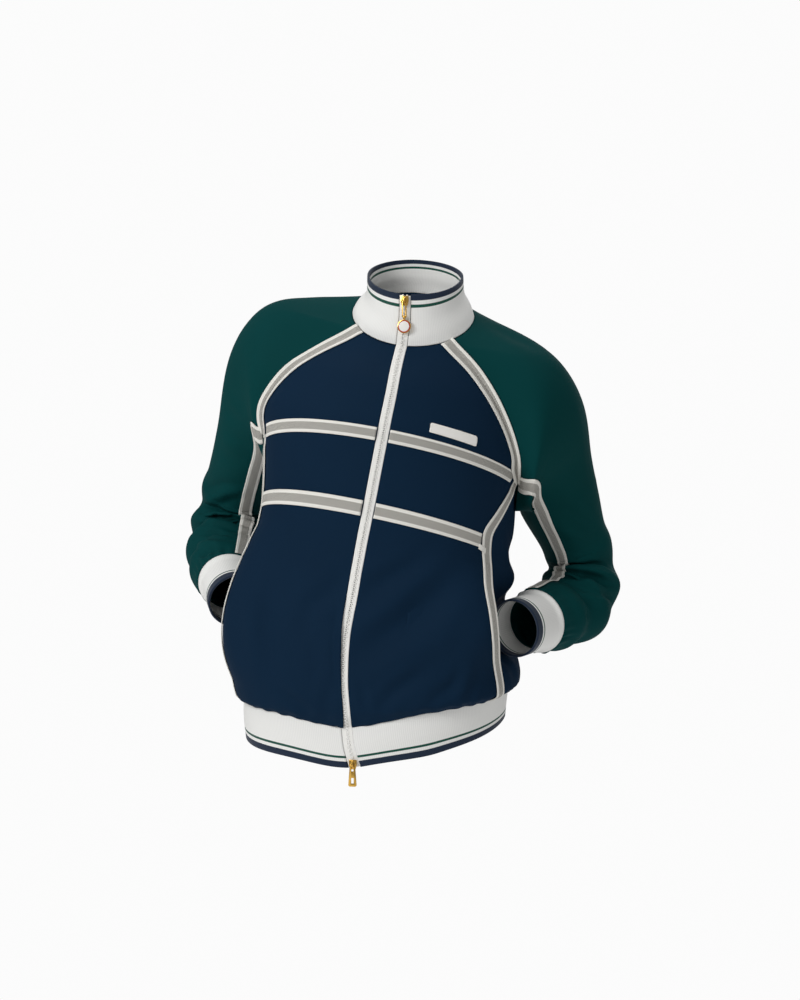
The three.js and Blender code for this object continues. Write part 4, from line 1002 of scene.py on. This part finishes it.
def onFront(side, angle, level, lift):
    point, normal = frontPoint(side, angle, level), frontNormal(side, angle, level)
    return point + normal * (lift + creaseShift(frontCreases[side], point))[:, None]


def sleeveNormal(side, u, v):
    h = 0.004
    around = sleevePoint(side, u + h, v) - sleevePoint(side, u - h, v)
    along = sleevePoint(side, u, np.minimum(1, v + h)) - sleevePoint(side, u, np.maximum(0, v - h))
    return unit(np.cross(around, along)) * sign[side]


def onSleeve(side, u, v, lift):
    point, normal = sleevePoint(side, u, v), sleeveNormal(side, u, v)
    return point + normal * (lift + creaseShift(sleeveCreases[side], point))[:, None]


tapeTop = sizes["tapeLift"] + sizes["tapeWall"]


def stamped(name, bar, spots, material, slot):
    # one small bar, copied to each spot: its middle, then across, outwards and along
    made, one = bmesh.new(), bmesh.new()
    bmesh.ops.create_cube(one, size=1)
    bmesh.ops.scale(one, verts=one.verts[:], vec=bar["size"])
    bmesh.ops.bevel(
        one, geom=one.edges[:], offset=bar["round"], segments=1, profile=0.5, affect="EDGES", material=-1,
    )
    stamp = bpy.data.meshes.new("stamp")
    one.to_mesh(stamp)
    one.free()
    for middle, across, outwards, along in spots:
        turn = Matrix((across, outwards, along)).transposed().to_4x4()
        turn.translation = Vector(middle)
        before = len(made.verts)
        made.from_mesh(stamp)
        made.verts.ensure_lookup_table()
        bmesh.ops.transform(made, matrix=Matrix.Scale(mm, 4) @ turn, verts=made.verts[before:])
    bpy.data.meshes.remove(stamp)
    piece = finishMesh(name, made, smooth=False)
    return dress(piece, material, "jacket", slot)


stitch = {"size": (0.55, 0.5, 2.1), "round": 0.14, "pitch": 3.1, "inset": 1.3}


def stitchRows(name, place, length, turned, lines=(stitch["inset"], sizes["tapeWidth"] - stitch["inset"])):
    # a row of stitches down each line across a tape
    spots = []
    count = int(length / stitch["pitch"])
    share = (np.arange(count) + 0.5) / count
    for line in lines:
        u = np.full(count, line / sizes["tapeWidth"])
        middle = place(u, share)
        along = unit(place(u, np.minimum(1, share + 0.002)) - place(u, np.maximum(0, share - 0.002)))
        across = unit(place(np.minimum(1, u + 0.05), share) - place(np.maximum(0, u - 0.05), share))
        outwards = unit(np.cross(across, along)) * (-1 if turned else 1)
        across = np.cross(outwards, along)
        spots += [(m + o * 0.05, a, o, g) for m, a, o, g in zip(middle, across, outwards, along)]
    return stamped(name, stitch, spots, threadPolyester, "tape")


def tapePiece(name, place, cadNode, flip):
    along = np.linspace(0, 1, 200)
    middle = place(np.full(200, 0.5), along)
    length = float(np.linalg.norm(np.diff(middle, axis=0), axis=1).sum())
    piece = gridMesh(name, 14, int(length / 2.2), place, (sizes["tapeWidth"], length), flip=flip)
    thicken(piece, walls["tape"])
    dress(piece, tapeWeave, "jacket", "tape", cadNode)
    stitches = stitchRows(name + "Stitches", place, length, flip)


def crossTapePlace(side, tape, u, v):
    level = tape["level"] + (u - 0.5) * sizes["tapeWidth"] / sizes["bodyHeight"]
    half = sectionAt(level)["half"]
    start = np.arcsin((sizes["zipTapeHalf"] + 1) / half)
    atMiddle = seamAngle(side, np.full_like(level, tape["level"]))
    end = np.minimum(seamAngle(side, level), atMiddle) - tape["end"] / half
    return onFront(side, mix(start, end, v), level, tapeTop)


def sideTapePlace(side, u, v):
    level = mix(0.003, 0.742, v)
    half = sectionAt(level)["half"]
    angle = sideAngle(side, level) - (-0.8 + (1 - u) * sizes["tapeWidth"]) / half
    # its top end lies under the tape round the sleeve
    return onFront(side, angle, level, tapeTop - 1.1 * ease(clamp01((v - 0.945) / 0.03)))


def raglanTapePlace(side, u, v):
    # u runs over the front's half of the tape and then the sleeve's half
    index = v * crossingRow
    h = 0.02

    def seam(k):
        k = np.clip(k, 0, crossingRow)
        level = column(raglanRows, "level", "index", k)
        return column(raglanRows, side, "index", k) * degree, level

    angle, level = seam(index)
    ahead, behind = seam(index + h), seam(index - h)
    tangent = unit(frontPoint(side, *ahead) - frontPoint(side, *behind))
    base = frontPoint(side, angle, level)
    distance = (u - 0.5) * sizes["tapeWidth"]
    onPanel = distance < 0
    # on the front: slide across the seam within the surface
    step = 0.005
    around = (frontPoint(side, angle + step, level) - frontPoint(side, angle - step, level)) / (2 * step)
    above = np.minimum(1, level + step)
    up = frontPoint(side, angle, above) - frontPoint(side, angle, level - step)
    up = up / (above - level + step)[:, None]
    inwards = unit(np.cross(tangent, frontNormal(side, angle, level)))
    inwards = inwards * -np.sign((inwards * around).sum(-1, keepdims=True)) * np.abs(distance)[:, None]
    e, f, g = (around * around).sum(-1), (around * up).sum(-1), (up * up).sum(-1)
    a, b = (inwards * around).sum(-1), (inwards * up).sum(-1)
    area = e * g - f * f
    frontAngle = angle + (a * g - b * f) / area
    frontLevel = np.minimum(level + (b * e - a * f) / area, 1)
    # its end dives into the neck seam
    lift = tapeTop - 1.3 * np.exp(-((v * 210 / 3) ** 2))
    onPanelPoint = onFront(side, frontAngle, frontLevel, lift)
    # on the sleeve: walk out from the seam until far enough away from it
    column_ = (6 + 2 * index) / 30
    walk = np.full_like(distance, 0.001)
    for _ in range(6):
        there = sleevePoint(side, column_, walk) - base
        away = np.linalg.norm(there - tangent * (there * tangent).sum(-1, keepdims=True), axis=-1)
        further = sleevePoint(side, column_, walk + 0.002) - base
        further = further - tangent * (further * tangent).sum(-1, keepdims=True)
        awayFurther = np.linalg.norm(further, axis=-1)
        rate = np.maximum((awayFurther - away) / 0.002, 20)
        walk = np.clip(walk + (np.maximum(distance, 0) - away) / rate, 0, 0.3)
    onSleevePoint = onSleeve(side, column_, walk, lift)
    onSleevePoint = onSleevePoint - tangent * ((onSleevePoint - base) * tangent).sum(-1, keepdims=True)
    blend = ease(clamp01((distance + 2.5) / 5))[:, None]
    seamPoint = onFront(side, angle, level, lift)
    onPanelPoint = np.where(onPanel[:, None], onPanelPoint, seamPoint)
    atSeam = onSleeve(side, column_, np.zeros_like(walk), lift)
    onSleevePoint = np.where(onPanel[:, None], atSeam, onSleevePoint)
    near = np.abs(distance) < 2.5
    mixed = mix(onPanelPoint, onSleevePoint, blend)
    return np.where(near[:, None], mixed, np.where(onPanel[:, None], onPanelPoint, onSleevePoint))


def sleeveTapePlace(side, start, u, v):
    ring = 27 * mix(start, 0.995, v)
    middle = column(tapes["sleevePath"], "column", "ring", ring)
    place = (middle + 1 + (u - 0.5) * 2 * tapes["sleeveHalf"]) / 30
    # it comes out from under the tape along the raglan seam
    return onSleeve(side, place, ring / 27, tapeTop - 1.1 * (1 - ease(clamp01(v * 400 / 12))))


def makeTapes():
    for side in sides:
        right = side == "right"
        for tape in tapes["cross"]:
            place = lambda u, v: crossTapePlace(side, tape, u, v)
            tapePiece(f"{tape['name']}Tape_{side}", place, f"{tape['name']}_tape_{side}", not right)
        place = lambda u, v: sideTapePlace(side, u, v)
        tapePiece(f"sideTape_{side}Weave", place, f"side_tape_{side}", right)
        place = lambda u, v: raglanTapePlace(side, u, v)
        tapePiece(f"raglanTape_{side}Weave", place, f"raglan_tape_{side}", not right)
        # the sleeve's tape starts just under the raglan tape's edge
        corner = sleevePoint(side, np.array([16 / 30]), np.array([0.0]))
        shares = np.linspace(0, 0.2, 60)
        away = np.linalg.norm(sleevePoint(side, np.full(60, 15.9 / 30), shares) - corner, axis=-1)
        start = float(shares[np.argmax(away > 4.5)])
        place = lambda u, v: sleeveTapePlace(side, start, u, v)
        tapePiece(f"sleeveTape_{side}Weave", place, f"sleeve_tape_{side}", right)


patch = {
    "from": 18.5, "to": 40.3, "low": 0.794, "high": 0.831,
    "width": 60, "height": 18, "corner": 2.2, "wall": 1,
}


def makePatch():
    def place(u, v):
        x, y = (u - 0.5) * patch["width"], (v - 0.5) * patch["height"]
        r = patch["corner"]
        dx, dy = np.abs(x) - (patch["width"] / 2 - r), np.abs(y) - (patch["height"] / 2 - r)
        inCorner = (dx > 0) & (dy > 0)
        shrink = np.where(inCorner, np.maximum(dx, dy) / np.maximum(np.hypot(dx, dy), 1e-6), 1)
        x = np.where(inCorner, np.sign(x) * (patch["width"] / 2 - r + dx * shrink), x)
        y = np.where(inCorner, np.sign(y) * (patch["height"] / 2 - r + dy * shrink), y)
        angle = mix(patch["from"], patch["to"], x / patch["width"] + 0.5) * degree
        level = mix(patch["low"], patch["high"], y / patch["height"] + 0.5)
        return onFront("left", angle, level, sizes["tapeLift"] + patch["wall"])
    piece = gridMesh("chestPatchTwill", 60, 20, place, (patch["width"], patch["height"]))
    thicken(piece, walls["patch"])
    dress(piece, patchWeave, "jacket", "enamel", "chest_patch")
    # the stitched edge
    spots = []
    wide, high = patch["width"] / 2 - 1.6, patch["height"] / 2 - 1.6
    for x0, y0, x1, y1 in (
        (-wide, -high, wide, -high), (wide, -high, wide, high),
        (wide, high, -wide, high), (-wide, high, -wide, -high),
    ):
        count = int(max(abs(x1 - x0), abs(y1 - y0)) / 2.4)
        t = (np.arange(count) + 0.5) / count
        u, v = mix(x0, x1, t) / patch["width"] + 0.5, mix(y0, y1, t) / patch["height"] + 0.5
        du, dv = (x1 - x0) * 0.002 / patch["width"], (y1 - y0) * 0.002 / patch["height"]
        middle, along = place(u, v), unit(place(u + du, v + dv) - place(u - du, v - dv))
        rightwards, upwards = place(u + 0.01, v) - place(u - 0.01, v), place(u, v + 0.01) - place(u, v - 0.01)
        outwards = unit(np.cross(rightwards, upwards))
        across = np.cross(outwards, along)
        spots += list(zip(middle + outwards * 0.05, across, outwards, along))
    fine = stitch | {"size": (0.5, 0.5, 1.6)}
    edging = stamped("chestPatchStitches", fine, spots, threadPolyester, "enamel")


makeTapes()
makePatch()
print("tapes and patch made")

# The zip
zipSizes = {"pitch": 5.2, "toothWide": 3.4, "toothLong": 1.5, "toothDeep": 2.2, "overlap": 0.9}


def zipSpot(across, level):
    across, level = np.broadcast_arrays(np.asarray(across, float), np.asarray(level, float))
    angle = np.sign(across) * angleAcross(np.abs(across), level)
    return bodyPoint(angle, level), bodyNormal(angle, level)


def makeZip():
    for side in sides:
        def place(u, v, side=side):
            across = sign[side] * mix(0.6, sizes["zipTapeHalf"] - 0.3, u)
            level = mix(-0.985, 1.97, v)
            point, normal = zipSpot(across, level)
            return point + normal * -0.3
        tape = gridMesh(f"zipTape_{side}Weave", 6, 300, place, (6.6, 600), flip=side == "right")
        thicken(tape, walls["zipTape"])
        dress(tape, zipWeave, "jacket", "zip", f"zip_tape_{side}")
    # the chain: one tooth, copied along both tapes
    levels = np.linspace(-0.985, 1.97, 4000)
    line = zipSpot(0, levels)[0]
    run = np.concatenate([[0], np.cumsum(np.linalg.norm(np.diff(line, axis=0), axis=1))])
    spots = []
    count = int(run[-1] / (zipSizes["pitch"] / 2))
    for k in range(1, count):
        along = k * zipSizes["pitch"] / 2
        level = np.array([np.interp(along, run, levels)])
        point, normal = zipSpot(0, level)
        near = np.interp([along - 1, along + 1], run, levels)
        a, b = zipSpot(0, near)[0]
        up = unit(b - a)
        across = unit(np.cross(up, normal[0]))
        outwards = np.cross(across, up)
        side = 1 if k % 2 else -1
        beside = side * (zipSizes["toothWide"] / 2 - zipSizes["overlap"])
        middle = point[0] + across * beside + outwards * 0.3
        spots.append((middle, across, outwards, up))
    tooth = {"size": (zipSizes["toothWide"], zipSizes["toothDeep"], zipSizes["toothLong"]), "round": 0.3}
    piece = stamped("zipTeeth", tooth, spots, zipAcetal, "zip")
    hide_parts("zip_chain")
    # a stop above the top slider on each tape
    point, normal = zipSpot(np.array([-2.6, 2.6]), np.array([1.955, 1.955]))
    up = unit(zipSpot(0, 1.96)[0] - zipSpot(0, 1.94)[0])
    spots = []
    for p, n in zip(point, normal):
        across = unit(np.cross(up, n))
        spots.append((p + n * 0.5, across, np.cross(across, up), up))
    stamped("zipTopStops", {"size": (2.4, 2.4, 4), "round": 0.5}, spots, zipAcetal, "zip")


makeZip()
print("zip made")

# Hard parts: the sliders and what hangs from them
charm = {"centre": (0, 2.85, -32.8), "half": 1, "rim": 7.7, "face": 6.5}


def rounded(name, cadNode, roundness):
    # a CAD solid's own mesh, merged, with its edges rounded
    bm = bmesh.new()
    bm.from_mesh(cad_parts[cadNode].data)
    bmesh.ops.remove_doubles(bm, verts=bm.verts[:], dist=1e-5)
    bmesh.ops.dissolve_limit(bm, angle_limit=math.radians(2), verts=bm.verts[:], edges=bm.edges[:])
    sharp = [edge for edge in bm.edges if edge.calc_face_angle(0) > math.radians(25)]
    bmesh.ops.bevel(
        bm, geom=sharp, offset=roundness * mm, segments=2, profile=0.5, affect="EDGES", material=-1,
        clamp_overlap=True,
    )
    piece = finishMesh(name, bm)
    piece.data.set_sharp_from_angle(angle=math.radians(38))
    return piece


def topFrame():
    # across, outwards and up at the top slider, as the part sets it
    point, normal = (values[0] for values in zipSpot(np.array([0.0]), np.array([1.88])))
    ahead, behind = (zipSpot(0, np.array([level]))[0][0] for level in (1.89, 1.87))
    up = unit(ahead - behind)
    across = unit(np.cross(up, normal))
    outwards = np.cross(across, up)
    return point + normal * (3 - 1.8 + 0.3), across, outwards, up


def charmDisc(name, radius, low, high, roundness, material):
    origin, across, outwards, up = topFrame()
    bm = bmesh.new()
    bmesh.ops.create_circle(bm, cap_ends=True, radius=radius, segments=64)
    top = bmesh.ops.extrude_face_region(bm, geom=bm.faces[:])["geom"]
    moved = [v for v in top if isinstance(v, bmesh.types.BMVert)]
    bmesh.ops.translate(bm, verts=moved, vec=(0, 0, high - low))
    bmesh.ops.recalc_face_normals(bm, faces=bm.faces[:])
    rims = [edge for edge in bm.edges if edge.calc_face_angle(0) > 1]
    bmesh.ops.bevel(bm, geom=rims, offset=roundness, segments=3, profile=0.5, affect="EDGES", material=-1)
    turn = Matrix((across, -up, outwards)).transposed().to_4x4()
    x, y, z = charm["centre"]
    middle = origin + across * x + outwards * (y + low) + up * z
    turn.translation = Vector(middle)
    bmesh.ops.transform(bm, matrix=Matrix.Scale(mm, 4) @ turn, verts=bm.verts[:])
    piece = finishMesh(name, bm)
    piece.data.set_sharp_from_angle(angle=math.radians(40))
    return dress(piece, material, "pull_charm", "enamel")


def makeHardware():
    for name, cadNode, roundness, body in (
        ("sliderTopGilt", "slider_top", 0.5, "jacket"),
        ("sliderBottomGilt", "slider_bottom", 0.5, "jacket"),
        ("linkGilt", "pull_link", 0.3, "pull_link"),
        ("tabGilt", "pull_tab", 0.32, "pull_tab"),
        ("charmGilt", "pull_charm", 0.3, "pull_charm"),
    ):
        slot = "enamel" if cadNode == "pull_charm" else "gold"
        dress(rounded(name, cadNode, roundness), gilt, body, slot, cadNode)
    charmDisc("charmRing", charm["rim"], charm["half"] - 0.1, charm["half"] + 0.3, 0.15, rimEnamel)
    charmDisc("charmFace", charm["face"], charm["half"] + 0.2, charm["half"] + 0.6, 0.18, enamel)


def makeBarTack():
    # a small knot of thread where the lower tape meets the tape down the front's edge
    def place(u, v):
        angle, level = frontPlace("left", np.full_like(u, 0.895), np.full_like(v, 0.507))
        x, y = (u - 0.5) * 13, (v - 0.5) * 8
        half = sectionAt(level)["half"]
        rim = np.minimum(1, np.maximum(np.abs(2 * u - 1), np.abs(2 * v - 1)))
        lift = tapeTop + 0.2 + 1.6 * (1 - rim**2.4) + 0.25 * np.sin(x * 5.2)
        return onFront("left", angle + x / half, level + (y - x * 0.25) / sizes["bodyHeight"], lift)
    piece = gridMesh("barTack", 52, 16, place, (13, 8))
    thicken(piece, walls["barTack"])
    dress(piece, threadPolyester, "jacket", "tape")


makeHardware()
makeBarTack()
print("hard parts made")

# The stage
camera = {"place": (0.64847, -3.14244, -0.01116), "looksAt": (-0.01523, -0.01999, -0.23438), "lens": 90.71}


def makeStage():
    lens = bpy.data.cameras.new("camera")
    lens.lens = camera["lens"]
    lens.sensor_width = 36
    lens.sensor_fit = "AUTO"
    lens.clip_end = 50
    eye = bpy.data.objects.new("camera", lens)
    bpy.context.scene.collection.objects.link(eye)
    eye.location = camera["place"]
    look = Vector(camera["looksAt"]) - Vector(camera["place"])
    eye.rotation_euler = look.to_track_quat("-Z", "Y").to_euler()
    bpy.context.scene.camera = eye
    lamps = (
        ("key", (-1.9, -2.4, 1.3), 60, 1.5),
        ("fill", (2.4, -2.2, 0.4), 8, 2.0),
        ("top", (0.1, 0.3, 2.2), 18, 1.6),
        ("back", (0.4, 2.6, 0.8), 14, 2.0),
    )
    for name, place, power, size in lamps:
        lamp = bpy.data.lights.new(name, "AREA")
        lamp.energy = power
        lamp.size = size
        holder = bpy.data.objects.new(name, lamp)
        holder.location = place
        look = Vector((-0.03, 0, -0.25)) - Vector(place)
        holder.rotation_euler = look.to_track_quat("-Z", "Y").to_euler()
        bpy.context.scene.collection.objects.link(holder)
    world = bpy.data.worlds.new("studio")
    world.use_nodes = True
    # the backdrop shows white, and lights the jacket less than it shows
    tree = world.node_tree
    tree.nodes.clear()
    shown = node(tree, "ShaderNodeBackground", {"Color": (1, 1, 1, 1), "Strength": 0.97})
    lighting = node(tree, "ShaderNodeBackground", {"Color": (1, 1, 1, 1), "Strength": 0.3})
    path = node(tree, "ShaderNodeLightPath")
    ways = {0: path.outputs["Is Camera Ray"], 1: lighting.outputs[0], 2: shown.outputs[0]}
    both = node(tree, "ShaderNodeMixShader", links=ways)
    node(tree, "ShaderNodeOutputWorld", links={"Surface": both.outputs[0]})
    bpy.context.scene.world = world
    bm = bmesh.new()
    bmesh.ops.create_circle(bm, cap_ends=True, radius=6, segments=96)
    bmesh.ops.translate(bm, verts=bm.verts[:], vec=(0, 0, -1.3))
    floor = finishMesh("floor", bm, smooth=False)
    paint = plainMaterial("paleFloor", "#ffffff", 0.9)
    # it shows as white as the backdrop, and throws up as little light
    tree = paint.node_tree
    out = tree.nodes["Material Output"]
    shown = node(tree, "ShaderNodeEmission", {"Strength": 0.97})
    path = node(tree, "ShaderNodeLightPath")
    lit = tree.nodes["Principled BSDF"]
    ways = {0: path.outputs["Is Camera Ray"], 1: lit.outputs[0], 2: shown.outputs[0]}
    both = node(tree, "ShaderNodeMixShader", links=ways)
    tree.links.new(both.outputs[0], out.inputs["Surface"])
    floor.data.materials.append(paint)
    bpy.context.scene.view_settings.view_transform = "Standard"


makeStage()
print("stage made")
